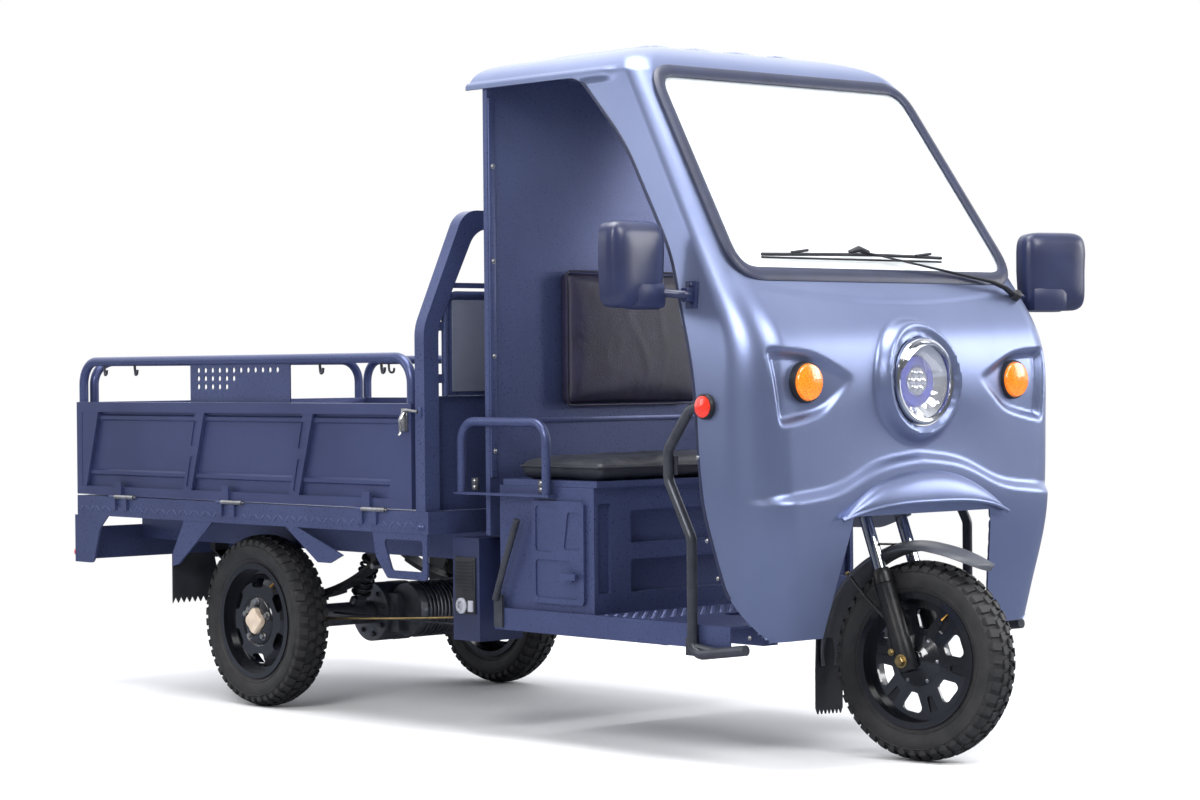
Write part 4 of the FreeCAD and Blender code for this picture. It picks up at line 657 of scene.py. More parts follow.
def sidePlaces(end, count):
    # few columns along the roof's side, many where the doorway's edge runs
    middleX = min(1430, end - 40)
    return list(np.linspace(cab["back"], middleX, 9)[:-1]) + list(np.linspace(middleX, end, count - 7))


def gridNormals(grid):
    along = np.gradient(grid, axis=1)
    up = np.gradient(grid, axis=0)
    normals = np.cross(along, up)
    length = np.linalg.norm(normals, axis=2, keepdims=True)
    return normals / np.maximum(length, 1e-9)


def flipOutwards(mesh, inside):
    total = sum((p.center - inside).dot(p.normal) * p.area for p in mesh.polygons)
    if total < 0:
        mesh.flip_normals()


def buildDoorTrim():
    # black edge trim pushed on the doorway's flange
    parts = []
    line = [p for p in doorway if p[0] > 1012 and p[1] > 316]
    for side in (-1, 1):
        path = [at(x, side * (sideY(x, z) - 3), z) for x, z in line]
        parts.append(tube(path, 6, 8))
    makePiece("doorTrim", *joinParts(parts), "seal", "chassis", "seal_rubber")


def buildVisor():
    # pressed brow over the wheel, with a rolled lip
    brow = {"back": 2120, "front": 2206, "base": 612, "rise": 106, "half": 303, "lip": 5}
    points, faces = [], []
    across, along = 60, 16
    for i in range(along + 1):
        t = i / along
        x = brow["back"] + (brow["front"] - brow["back"]) * math.sin(t * math.pi / 2)
        for k in range(across + 1):
            s = -1 + 2 * k / across
            arch = (1 - abs(s) ** 2.9)
            drop = 0.10 + 0.90 * (1 - t ** 2.2)
            z = brow["base"] + brow["rise"] * arch * (0.28 + 0.72 * drop) + 10 * math.exp(
                -(s / 0.45) ** 2) * math.sin(math.pi * t) - 4 * t
            half = brow["half"] * (0.965 + 0.035 * t)
            points.append(at(x - 26 * abs(s) ** 3 * t, half * s, z))
    width = across + 1
    for i in range(along):
        for k in range(across):
            a = i * width + k
            faces.append((a, a + 1, a + width + 1, a + width))
    piece = makePiece("wheelBrow", points, faces, "shell", "chassis", "body_paint", sharp=60)
    flipOutwards(piece.data, at(2140, 0, 560))
    withModifiers(piece, ("SOLIDIFY", {"thickness": 0.004, "offset": -1.0}))
    piece.data.shade_smooth()
    piece.data.set_sharp_from_angle(angle=math.radians(60))
    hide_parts("front_visor")
    edge = points[along * width:(along + 1) * width]
    makePiece("browLip", *tube([p + Vector((0.001, 0, -0.002)) for p in edge], brow["lip"], 10), "shell",
              "chassis", "body_paint")


headlamp = {"face": 2176, "height": 937, "radius": 108}


def buildHeadlamp():
    h = headlamp
    centre = at(h["face"] - 56, 0, h["height"])
    ahead = (1, 0, 0)
    bezel = lathe(((4, 108), (50, 108), (57, 105), (60, 99), (58, 93), (50, 91), (44, 92)), centre, ahead, 72)
    makePiece("lampBezel", *bezel, "chrome", "chassis", "chrome", ("headlamp",))
    # faceted bowl: every second column of the reflector is set in
    side, up, along = axes(ahead)
    points, faces = [], []
    rings, columns = 14, 48
    for i in range(rings + 1):
        t = i / rings
        radius = 34 + (91 - 34) * t
        reach = 12 + 36 * t ** 1.7
        for k in range(columns):
            angle = 2 * math.pi * k / columns
            flute = 1.2 * (1 if k % 2 else -1) * math.sin(math.pi * t)
            points.append(centre + (along * reach + (side * math.cos(angle) + up * math.sin(angle))
                                    * (radius + flute)) / 1000)
    for i in range(rings):
        for k in range(columns):
            j = (k + 1) % columns
            faces.append((i * columns + k, i * columns + j, (i + 1) * columns + j, (i + 1) * columns + k))
    makePiece("lampReflector", points, faces, "chrome", "chassis", "chrome", sharp=12)
    ring = lathe(((14, 62), (24, 64), (28, 60), (28, 40), (22, 37), (14, 38)), centre, ahead, 60)
    makePiece("lampRing", *ring, "blue", "chassis", "lamp_glass")
    core = lathe(((10, 38), (26, 37), (30, 34), (30, 0.5)), centre, ahead, 40)
    cells = []
    for n in range(7):
        angle = math.pi / 3 * n
        reach = 0 if n == 6 else 21
        spot = centre + (along * 29 + (side * math.cos(angle) + up * math.sin(angle)) * reach) / 1000
        cells.append(lathe(((0, 10), (4, 9.4), (7, 6.5), (8.4, 0.4)), spot, ahead, 20))
    makePiece("lampCells", *joinParts([core] + cells), "chrome", "chassis", "chrome")
    glass = lathe(((46, 92), (50, 88), (55, 60), (57.5, 30), (58, 0.4)), centre, ahead, 60)
    makePiece("lampCover", *glass, "lampGlass", "chassis", "lamp_glass", ("headlamp_lens",))
    # eyebrow over the upper half of the lens
    points, faces = [], []
    for i in range(31):
        angle = math.radians(18 + 144 * i / 30)
        shade = math.sin(math.pi * i / 30) ** 0.6
        for reach, radius in ((47, 93), (60, 96), (60 + 16 * shade, 93 - 3 * shade), (58 + 16 * shade, 90 - 3 * shade),
                              (56, 90)):
            points.append(centre + Vector((reach, radius * math.cos(angle), radius * math.sin(angle))) / 1000)
    for i in range(30):
        for k in range(5):
            a, b = i * 5 + k, i * 5 + (k + 1) % 5
            faces.append((a, b, b + 5, a + 5))
    faces += [(0, 1, 2, 3, 4), (150, 151, 152, 153, 154)]
    makePiece("lampEyebrow", points, faces, "chrome", "chassis", "chrome")
    print("headlamp built")


signals = {"side": 380, "height": 938, "face": 2126, "radius": 37}


def buildSignals():
    bezels, lenses = [], []
    for side in (-1, 1):
        centre = at(signals["face"], side * signals["side"], signals["height"])
        bezels.append(lathe(((-14, 50), (12, 50), (18, 48), (18, 45), (10, 44)), centre, (1, 0, 0), 48))
        lenses.append(lathe(((10, 45), (19, 45), (25, 42), (29, 30), (31, 12), (31.5, 0.4)), centre, (1, 0, 0), 48))
    makePiece("signalBezels", *joinParts(bezels), "black", "chassis", "black_plastic")
    makePiece("signalLenses", *joinParts(lenses), "amber", "chassis", "amber_plastic", ("signal_lamps",))
    bezels, lenses = [], []
    for side in (-1, 1):
        y = side * (sideY(1985, 882) - 1)
        centre = at(1985, y, 882)
        bezels.append(lathe(((-4, 31), (10, 31), (14, 29), (14, 26)), centre, (0, side, 0), 36))
        lenses.append(lathe(((8, 27), (16, 26), (20, 17), (21, 0.4)), centre, (0, side, 0), 36))
    makePiece("markerBezels", *joinParts(bezels), "black", "chassis", "black_plastic")
    makePiece("markerLenses", *joinParts(lenses), "red", "chassis", "amber_plastic")


def screenPoint(y, z, out=0.0):
    front = cabLevel(z)[0]
    tilt = Vector((0.83, 0, 0.558))
    return at(front, y, z) + tilt * out / 1000


def buildScreen():
    outline = screenOutline(4)
    count = 240
    ring = evenly([Vector((a, b, 0)) for a, b in outline], count)
    profile = ((-14, 2), (-14, 7), (-8, 11), (4, 12), (14, 10), (20, 5), (21, 0.5), (16, -2))
    points, faces = [], []
    for i, p in enumerate(ring):
        ahead = (ring[(i + 1) % count] - ring[i - 1]).normalized()
        away = Vector((ahead.y, -ahead.x, 0))
        for reach, out in profile:
            q = p + away * reach * 0.92
            points.append(screenPoint(q.x, q.y, out))
    size = len(profile)
    for i in range(count):
        for k in range(size):
            a, b = i * size + k, i * size + (k + 1) % size
            c, d = ((i + 1) % count) * size + (k + 1) % size, ((i + 1) % count) * size + k
            faces.append((a, b, c, d))
    makePiece("screenSeal", points, faces, "seal", "chassis", "seal_rubber", ("windscreen_seal",))
    nodes["windscreen"].data.materials.clear()
    nodes["windscreen"].data.materials.append(finishes["screen"])
    # wiper: pivot low on the far side, arm up to the middle of the blade
    pivot = screenPoint(468, 1150, 6)
    knee = screenPoint(385, 1178, 22)
    hinge = screenPoint(-60, 1252, 20)
    arm = [pivot, pivot.lerp(knee, 0.5) + Vector((0.006, 0, 0.003)), knee, knee.lerp(hinge, 0.5), hinge]
    parts = [tube(arm, [11, 10, 8, 5, 4], 8, flat=0.6),
             lathe(((-8, 13), (10, 13), (16, 10), (18, 0.5)), pivot, (0.83, 0, 0.558), 24),
             tube([screenPoint(-90, 1250, 17), screenPoint(-60, 1254, 24), screenPoint(-20, 1251, 17)], [5, 9, 5], 8)]
    blade = [screenPoint(y, 1243 + 3 * math.cos(y / 160), 13) for y in np.linspace(-400, 250, 20)]
    parts.append(tube(blade, 5.5, 8, flat=0.8))
    parts.append(tube([screenPoint(y, 1236, 8) for y in np.linspace(-400, 250, 14)], 3, 6))
    for y in (-300, 150):
        parts.append(tube([screenPoint(y, 1244, 18), screenPoint(y + 60, 1250, 19)], 4, 6))
    makePiece("wiper", *joinParts(parts), "black", "chassis", "black_plastic")
    print("screen and wiper built")


def evenly(ring, count):
    ring = list(ring) + [ring[0]]
    lengths = [0]
    for a, b in zip(ring, ring[1:]):
        lengths.append(lengths[-1] + (b - a).length)
    out, k = [], 0
    for i in range(count):
        want = lengths[-1] * i / count
        while lengths[k + 1] < want:
            k += 1
        t = (want - lengths[k]) / max(lengths[k + 1] - lengths[k], 1e-9)
        out.append(ring[k].lerp(ring[k + 1], t))
    return out


mirrors = {"size": (64, 196, 208), "height": 1222, "reach": 692,
           "heads": (("right", -1, 1871, 8), ("left", 1, 2014, -16))}


def buildMirrors():
    _, width, height = mirrors["size"]
    for word, side, x, turn in mirrors["heads"]:
        spin = Matrix.Rotation(math.radians(turn), 3, "Z")
        centre = at(x, side * mirrors["reach"], mirrors["height"])
        points, faces = [], []
        layers = ((-32, 0.965), (-30, 0.99), (-8, 1.0), (4, 1.0), (8, 0.985), (10, 0.985), (14, 0.965), (24, 0.88),
                  (30, 0.72), (32, 0.4), (32.4, 0.02))
        around = 56
        for reach, scale in layers:
            for k in range(around):
                a = 2 * math.pi * k / around
                c, s = math.cos(a), math.sin(a)
                y = width / 2 * math.copysign(abs(c) ** 0.34, c) * (1.0 if s > 0 else 0.97)
                z = height / 2 * math.copysign(abs(s) ** 0.34, s)
                points.append(centre + spin @ Vector((reach, y * scale, z * scale)) / 1000)
        for i in range(len(layers) - 1):
            for k in range(around):
                j = (k + 1) % around
                faces.append((i * around + k, i * around + j, (i + 1) * around + j, (i + 1) * around + k))
        faces.append(tuple(range(around)))
        faces.append(tuple((len(layers) - 1) * around + k for k in range(around)))
        head = (points, faces)
        lower = slab(centre + spin @ Vector((2, side * -30, -74)) / 1000, (66, 110, 66), spin, 18)
        root = at(1925, side * (sideY(1925, 1150) + 3), 1150)
        parts = [head, lower,
                 tube(smoothPath([root, root + Vector((0, side * 0.03, 0.0)),
                                  centre + Vector((0.0, -side * 0.07, -0.066)),
                                  centre + Vector((0, -side * 0.03, -0.07))]), 10, 12),
                 slab(root + Vector((0, -side * 0.001, 0)), (40, 9, 66), None, 2),
                 slab(root + Vector((0.0, side * 0.014, 0)), (24, 26, 34), None, 4)]
        for dz in (-23, 23):
            parts.append(lathe(((0, 7), (4, 7), (6, 4), (6, 0.4)), root + Vector((0, side * 0.003, dz / 1000)),
                               (0, side, 0), 12))
        makePiece(f"mirrorHead_{word}", *joinParts(parts), "abs", "chassis", "black_plastic", (f"mirror_{word}",))
        glass = slab(centre + spin @ Vector((-33.2, 0, 0)) / 1000, (2, width - 34, height - 34), spin, 0.6)
        makePiece(f"mirrorGlass_{word}", *glass, "mirrorGlass", "chassis", "chrome")
    print("mirrors built")


def wheelFrame(joint):
    # matrix that takes a wheel lying with its axle on Y to its place
    centre = Vector(joints[joint]["pos_m"])
    axle = Vector(joints[joint]["axis"]).normalized()
    across = axle.cross(Vector((0, 0, 1))).normalized()
    up = across.cross(axle) * 1
    turned = Matrix((across, axle, up)).transposed().to_4x4()
    return Matrix.Translation(centre) @ turned


tyres = {"front_wheel": {"joint": "front_wheel_spin", "node": "front_tyre", "radius": 247.0, "half": 49,
                         "bead": 168, "pitches": 46},
         "rear_wheel_right": {"joint": "rear_wheel_right_spin", "node": "rear_tyre_right", "radius": 250, "half": 52.5,
                              "bead": 168, "pitches": 46},
         "rear_wheel_left": {"joint": "rear_wheel_left_spin", "node": "rear_tyre_left", "radius": 250, "half": 52.5,
                             "bead": 168, "pitches": 46}}


def crownRadius(y, tyre, depth=0.0):
    share = min(abs(y) / tyre["half"], 1.0)
    return tyre["radius"] - 15 * share ** 2.4 - depth


def treadBlock(corners, tyre, depth, wall=None):
    # one block: corners are (along the tread, across it) in mm
    centreLine = [sum(c[k] for c in corners) / len(corners) for k in (0, 1)]
    points, faces = [], []
    layers = ((depth + 1, 1.0), (1.0, 1.0), (0, 0.93))
    count = len(corners)
    for down, scale in layers:
        for a, y in corners:
            a2 = centreLine[0] + (a - centreLine[0]) * scale
            y2 = centreLine[1] + (y - centreLine[1]) * scale
            radius = crownRadius(y2, tyre, down) if wall is None else wall(y2, down)
            angle = a2 / tyre["radius"]
            points.append(Vector((radius * math.sin(angle), y2, radius * math.cos(angle))) / 1000)
    for i in range(len(layers) - 1):
        for k in range(count):
            j = (k + 1) % count
            faces.append((i * count + k, i * count + j, (i + 1) * count + j, (i + 1) * count + k))
    faces.append(tuple((len(layers) - 1) * count + k for k in range(count)))
    return points, faces


def buildTyres():
    for body, tyre in tyres.items():
        place = wheelFrame(tyre["joint"])
        half, radius, bead = tyre["half"], tyre["radius"], tyre["bead"]
        depth = 7
        profile = [(-34, 157), (-38, 161), (-41, bead), (-half + 7, bead + 10), (-half + 2, bead + 24),
                   (-half + 0.2, bead + 38), (-half + 0.5, bead + 48), (-half + 3, radius - 22)]
        for y in np.linspace(-half + 6, half - 6, 13):
            profile.append((float(y), crownRadius(y, tyre, depth)))
        profile += [(-a, b) for a, b in reversed(profile[:8])]
        profile += [(0, 150)]
        carcass = lathe(profile, (0, 0, 0), (0, 1, 0), 120)
        rings = []
        for side in (-1, 1):
            for r in (bead + 12, bead + 50):
                y = half - 5.6 if r < bead + 30 else half + 0.2
                rings.append(lathe(((side * (y - 2), r - 2.6), (side * (y + 0.8), r), (side * (y - 2), r + 2.6)),
                                   (0, 0, 0), (0, 1, 0), 120))
        pitch = 2 * math.pi * radius / tyre["pitches"]
        blocks = []
        for side in (-1, 1):
            lead = 0 if side < 0 else pitch / 2
            h = half
            outer = ((lead - 0.36 * pitch, h - 1), (lead + 0.30 * pitch, h - 1),
                     (lead + 0.36 * pitch, h * 0.56), (lead - 0.24 * pitch, h * 0.52))
            inner = ((lead + 0.10 * pitch, h * 0.47), (lead + 0.74 * pitch, h * 0.40),
                     (lead + 0.62 * pitch, h * 0.07), (lead - 0.04 * pitch, h * 0.13))
            for corners in (outer, inner):
                blocks.append(treadBlock([(along, side * across) for along, across in corners], tyre, depth))
            # shoulder lugs run down the wall
            wall = []
            for down, (a, b) in ((0, (-0.30, 0.24)), (9, (-0.26, 0.18)), (17, (-0.18, 0.10))):
                for share in (a, b):
                    for out in (-2.0, 1.3 if down < 12 else 0.4):
                        angle = (lead + share * pitch) / radius
                        r = radius - 16 - down
                        wall.append(Vector((r * math.sin(angle), side * (h - 1.5 + out), r * math.cos(angle))) / 1000)
            faces = [(0, 1, 3, 2)]
            for k in (0, 4):
                faces += [(k, k + 1, k + 5, k + 4), (k + 2, k + 3, k + 7, k + 6), (k + 1, k + 3, k + 7, k + 5),
                          (k, k + 2, k + 6, k + 4)]
            faces.append((8, 9, 11, 10))
            blocks.append((wall, faces))
        tread = repeated(joinParts(blocks), tyre["pitches"], "tyre", turn=2 * math.pi / tyre["pitches"])
        whole = joinParts([moved(carcass, place), moved(tread, place)] + [moved(r, place) for r in rings])
        piece = makePiece("tread_" + body, *whole, "tyre", body, "tyre_rubber", (tyre["node"],), sharp=32)
        print("tyre", body, len(piece.data.polygons), "faces")


def paintNodes():
    plan = {"frame": ("chassis_frame", "floor_pan", "seat_box", "cab_rear_wall", "bed_floor", "bed_bulkhead",
                      "hoop_guard", "arch_brackets", "side_rail_right", "side_rail_left", "seat_lid",
                      "battery_door_right", "battery_door_left", "armrests"),
            "gate": ("side_panel_right", "side_panel_left", "tailgate"),
            "rim": ("front_rim", "rear_rim_right", "rear_rim_left"), "tube": ("guard_tubes", "brake_linkage"),
            "black": ("handlebar",), "abs": ("charger_box",), "cast": ("rear_axle",),
            "spring": ("rear_springs",), "flap": ("mud_flaps",), "red": ("rear_lamps",),
            "battery": ("battery_pack",), "tube2": ("front_fork",)}
    for finish, names in plan.items():
        for name in names:
            data = nodes[name].data
            data.materials.clear()
            data.materials.append(finishes[finish.rstrip("2")])


def setStage():
    floorMesh = bpy.data.meshes.new("floor")
    reach = 60
    floorMesh.from_pydata([(-reach, -reach, 0), (reach, -reach, 0), (reach, reach, 0), (-reach, reach, 0)], [],
                          [(0, 1, 2, 3)])
    floor = bpy.data.objects.new("floor", floorMesh)
    bpy.context.scene.collection.objects.link(floor)
    made, tree, shader, where, output = newMaterial("paleFloor")
    shader.inputs["Roughness"].default_value = 0.9
    shader.inputs["Specular IOR Level"].default_value = 0.1
    # reflections see a darker floor, and it fades to plain white away from the vehicle
    rays = addNode(tree, "ShaderNodeLightPath").outputs
    tone = mixed(tree, rays["Is Glossy Ray"], colour("#f4f4f5"), colour("#6f7480"))
    tree.links.new(tone, shader.inputs["Base Color"])
    far = addNode(tree, "ShaderNodeVectorMath", {"operation": "LENGTH"}, {0: where}).outputs["Value"]
    fade = spread(tree, far, 1.9, 3.6)
    seen = addNode(tree, "ShaderNodeMath", {"operation": "ADD", "use_clamp": True}, {0: rays["Is Camera Ray"],
                                                                                  1: rays["Is Transmission Ray"]})
    share = addNode(tree, "ShaderNodeMath", {"operation": "MULTIPLY"}, {0: fade, 1: seen.outputs[0]})
    white = addNode(tree, "ShaderNodeEmission", values={0: (1, 1, 1, 1), 1: 1.0})
    mix = addNode(tree, "ShaderNodeMixShader", links={0: share.outputs[0], 1: shader.outputs[0], 2: white.outputs[0]})
    tree.links.new(mix.outputs[0], output.inputs["Surface"])
    floorMesh.materials.append(made)
    world = bpy.data.worlds.new("studio")
    bpy.context.scene.world = world
    world.use_nodes = True
    tree = world.node_tree
    tree.nodes.clear()
    rays = addNode(tree, "ShaderNodeLightPath").outputs
    seen = addNode(tree, "ShaderNodeMath", {"operation": "ADD", "use_clamp": True},
                   {0: rays["Is Camera Ray"], 1: rays["Is Transmission Ray"]})
    # the room is bright behind and above the vehicle and dim in front of it
    way = addNode(tree, "ShaderNodeTexCoord").outputs["Generated"]
    facing = addNode(tree, "ShaderNodeVectorMath", {"operation": "DOT_PRODUCT"}, {0: way},
                     {1: (-0.70, 0.62, 0.34)}).outputs["Value"]
    glow = spread(tree, facing, -0.1, 0.85, 0.22, 2.1)
    dim = addNode(tree, "ShaderNodeBackground", links={1: glow}, values={0: colour("#eceef2")})
    white = addNode(tree, "ShaderNodeBackground", values={0: (1, 1, 1, 1), 1: 1.0})
    mix = addNode(tree, "ShaderNodeMixShader", links={0: seen.outputs[0], 1: dim.outputs[0], 2: white.outputs[0]})
    addNode(tree, "ShaderNodeOutputWorld", links={0: mix.outputs[0]})
    lamps = (("keyPanel", (2.4, -4.6, 3.6), (0.6, 0, 0.9), 2.0, 190),
             ("frontPanel", (5.2, 0.2, 4.2), (1.2, 0, 1.0), 2.4, 190),
             ("topPanel", (0.4, -0.8, 5.0), (0.4, 0, 0.6), 3.4, 330),
             ("sidePanel", (-2.6, -4.8, 2.4), (-0.6, 0, 0.7), 1.6, 35),
             ("farPanel", (3.6, 3.8, 2.2), (1.2, 0.3, 0.9), 2.0, 90))
    for name, place, aim, size, power in lamps:
        lamp = bpy.data.lights.new(name, "AREA")
        lamp.shape = "SQUARE"
        lamp.size = size
        lamp.energy = power
        holder = bpy.data.objects.new(name, lamp)
        holder.location = place
        holder.rotation_euler = (Vector(aim) - Vector(place)).to_track_quat("-Z", "Y").to_euler()
        bpy.context.scene.collection.objects.link(holder)
    bpy.context.scene.view_settings.view_transform = "Standard"
    print("stage set")


def paddedBox(name, low, high, turn, finish, node, body, bulge, seamAt):
    # a cushion: a rounded block that pressure fills out, with piping along its seam
    size = Vector(high) - Vector(low)
    centre = (Vector(high) + Vector(low)) / 2
    work = bmesh.new()
    bmesh.ops.create_cube(work, size=1.0)
    for v in work.verts:
        v.co = Vector((v.co.x * size.x, v.co.y * size.y, v.co.z * size.z)) * 0.001
    bmesh.ops.bevel(work, geom=list(work.edges), offset=bulge["round"] / 1000, segments=4, profile=0.5, affect="EDGES")
    mesh = bpy.data.meshes.new(name)
    work.to_mesh(mesh)
    work.free()
    piece = makeObject(name, mesh, finish, None)
    withModifiers(piece, ("REMESH", {"mode": "VOXEL", "voxel_size": bulge["voxel"] / 1000}))
    rest = np.array([v.co[:] for v in piece.data.vertices])
    cloth = piece.modifiers.new("cloth", "CLOTH")
    cloth.settings.quality = 5
    cloth.settings.use_pressure = True
    cloth.settings.uniform_pressure_force = bulge["pressure"]
    cloth.settings.effector_weights.gravity = 0
    cloth.settings.tension_stiffness = 8
    cloth.settings.bending_stiffness = 0.3
    cloth.point_cache.frame_end = 20
    for step in range(1, 21):
        bpy.context.scene.frame_set(step)
    graph = bpy.context.evaluated_depsgraph_get()
    fresh = bpy.data.meshes.new_from_object(piece.evaluated_get(graph))
    piece.modifiers.clear()
    piece.data = fresh
    bpy.context.scene.frame_set(1)
    places = np.array([v.co[:] for v in piece.data.vertices])
    shift = places - rest
    far = np.linalg.norm(shift, axis=1, keepdims=True)
    shift *= np.minimum(1, bulge["cap"] / 1000 / np.maximum(far, 1e-9))
    places = rest + shift
    half = np.array(size) / 2000
    thin = int(np.argmin(half))
    wide = [k for k in range(3) if k != thin]
    u, w = places[:, wide[0]] / half[wide[0]], places[:, wide[1]] / half[wide[1]]
    crown = (1 - np.clip(np.abs(u), 0, 1) ** 3) * (1 - np.clip(np.abs(w), 0, 1) ** 4)
    outside = smoothStep((places[:, thin] * seamAt["face"] / half[thin] - 0.1) / 0.6)
    places[:, thin] += seamAt["face"] * outside * (crown - 0.75) * bulge["crown"] / 1000
    folds = np.array([noise.noise(Vector((p[wide[0]] * 9, p[wide[1]] * 5, 3.1))) for p in places])
    ridge = 1 - np.abs(folds) * 2
    places[:, thin] += seamAt["face"] * outside * (np.clip(ridge, 0.55, 1) - 0.75) * bulge["fold"] / 1000
    for v, p in zip(piece.data.vertices, places):
        v.co = turn.to_3x3() @ Vector(p) + at(*centre)
    piece.data.update()
    withModifiers(piece, ("SUBSURF", {"levels": 1, "render_levels": 1}))
    piece.data.shade_smooth()
    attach(piece, body)
    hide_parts(node)
    # piping
    ring = []
    for a, b in roundedOutline([(s * half[wide[0]] * 1000 * 0.99, t * half[wide[1]] * 1000 * 0.99, bulge["round"])
                                for s, t in ((-1, -1), (1, -1), (1, 1), (-1, 1))]):
        local = [0, 0, 0]
        local[wide[0]], local[wide[1]], local[thin] = a / 1000, b / 1000, seamAt["level"] * half[thin]
        ring.append(turn.to_3x3() @ Vector(local) + at(*centre))
    makePiece(name + "Piping", *tube(evenly(ring, 120), 3.2, 8, closed=True), finish, body, "seat_vinyl")
    print("pad", name, len(piece.data.vertices), "points")


def buildSeat():
    paddedBox("seatPad", (1159, -462, 693), (1488, 462, 742), Matrix.Identity(4), "seat", "seat_cushion", "seat_lid",
              {"round": 20, "voxel": 7, "pressure": 4, "cap": 8, "crown": 8, "fold": 9}, {"face": 1, "level": 0.2})
    low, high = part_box("backrest")
    corner = [Vector(((c.x * 1000) + middle, c.y * 1000, c.z * 1000)) for c in (low, high)]
    paddedBox("backPad", corner[0] + Vector((2, 5, 5)), corner[1] - Vector((9, 5, 5)), Matrix.Identity(4), "backrest",
              "backrest", "chassis", {"round": 16, "voxel": 7, "pressure": 4, "cap": 8, "crown": 8, "fold": 2},
              {"face": 1, "level": 0.5})


fork = {"offset": 45, "leg": 80, "slider": 232, "lower": 392, "upper": 628}


def forkPoint(x, y, z):
    # mm in the steering frame: ahead, across, up along the raked axis
    centre = Vector(joints["front_wheel_spin"]["pos_m"])
    across = Vector(joints["front_wheel_spin"]["axis"]).normalized()
    up = Vector(joints["steering"]["axis"]).normalized()
    ahead = across.cross(up)
    return centre + (ahead * (x - fork["offset"]) + across * y + up * z) / 1000


def forkAxis(x, y, z):
    return forkPoint(x, y, z) - forkPoint(0, 0, 0)


def nut(place, direction, width, tall, flats=6):
    # a hexagon with a chamfered top, and its washer
    r = width / 2
    return joinParts([lathe(((0, r * 0.6), (0, r), (tall * 0.8, r), (tall, r * 0.86), (tall, 0.3)), place, direction,
                            flats),
                      lathe(((0, r * 1.3), (1.6, r * 1.3), (1.8, r * 1.2), (1.8, r * 0.5)), place, direction, 20)])


def domeBolt(place, direction, radius=7):
    return lathe(((-1, radius * 1.35), (1.2, radius * 1.35), (1.2, radius), (radius * 0.5, radius * 0.8),
                  (radius * 0.72, radius * 0.4), (radius * 0.75, 0.2)), place, direction, 16)


def buildFork():
    f = fork
    up = forkAxis(0, 0, 1)
    tubes, sliders, caps, bolts = [], [], [], []
    for side in (-1, 1):
        y = side * f["leg"]
        foot = forkPoint(f["offset"], y, 0)
        tubes.append(lathe(((f["slider"] + 4, 15.8), (f["lower"] - 18, 15.8)), foot, up, 32))
        tubes.append(lathe(((f["lower"] + 18, 15.8), (f["upper"], 15.8)), foot, up, 32))
        sliders.append(lathe(((f["slider"] - 34, 22.3), (f["slider"] - 32, 25), (f["slider"] - 6, 25),
                              (f["slider"] - 2, 23), (f["slider"] + 5, 21), (f["slider"] + 6, 15.9)), foot, up, 36))
        sliders.append(lathe(((-26, 12), (-26, 22.5), (-20, 25), (30, 25.5), (60, 24.6), (120, 24.2), (190, 24.6),
                              (198, 25.2)), foot, up, 36))
        sliders.append(slab(forkPoint(f["offset"] - 20, y, 60), (34, 12, 40), None, 4))
        caps.append(lathe(((f["upper"] + 22, 17), (f["upper"] + 30, 17), (f["upper"] + 32, 14), (f["upper"] + 37, 9),
                           (f["upper"] + 37, 0.3)), foot, up, 8))
        bolts.append(nut(forkPoint(f["offset"], side * (f["leg"] + 24), 0), forkAxis(0, side, 0), 26, 13))
        bolts.append(nut(forkPoint(f["offset"] - 22, side * (f["leg"] + 22), 30), forkAxis(0, side, 0), 13, 7))
        bolts.append(nut(forkPoint(f["offset"] + 26, y, f["lower"]), forkAxis(1, 0, 0), 13, 7))
        # stay from the slider to the mudguard
        stay = [forkPoint(f["offset"] - 8, side * (f["leg"] + 8), 96), forkPoint(f["offset"] - 70, side * 72, 190),
                forkPoint(f["offset"] - 112, side * 56, 262)]
        sliders.append(tube(smoothPath(stay), 5, 10))
        bolts.append(domeBolt(stay[0], forkAxis(0, side, 0), 6))
        bolts.append(domeBolt(stay[2], forkAxis(0, side, 0), 5))
    makePiece("forkTubes", *joinParts(tubes), "chrome", "steering", "chrome")
    makePiece("forkSliders", *joinParts(sliders), "spring", "steering", "black_paint")
    makePiece("forkCaps", *joinParts(caps), "chrome", "steering", "chrome")
    makePiece("forkBolts", *joinParts(bolts), "brass", "steering", "steel_spring")
    print("fork dressed")


mudguard = {"radius": 290, "half": 54, "crown": 15, "flare": 22, "front": 50, "rear": 186, "flap": 150, "teeth": 7}


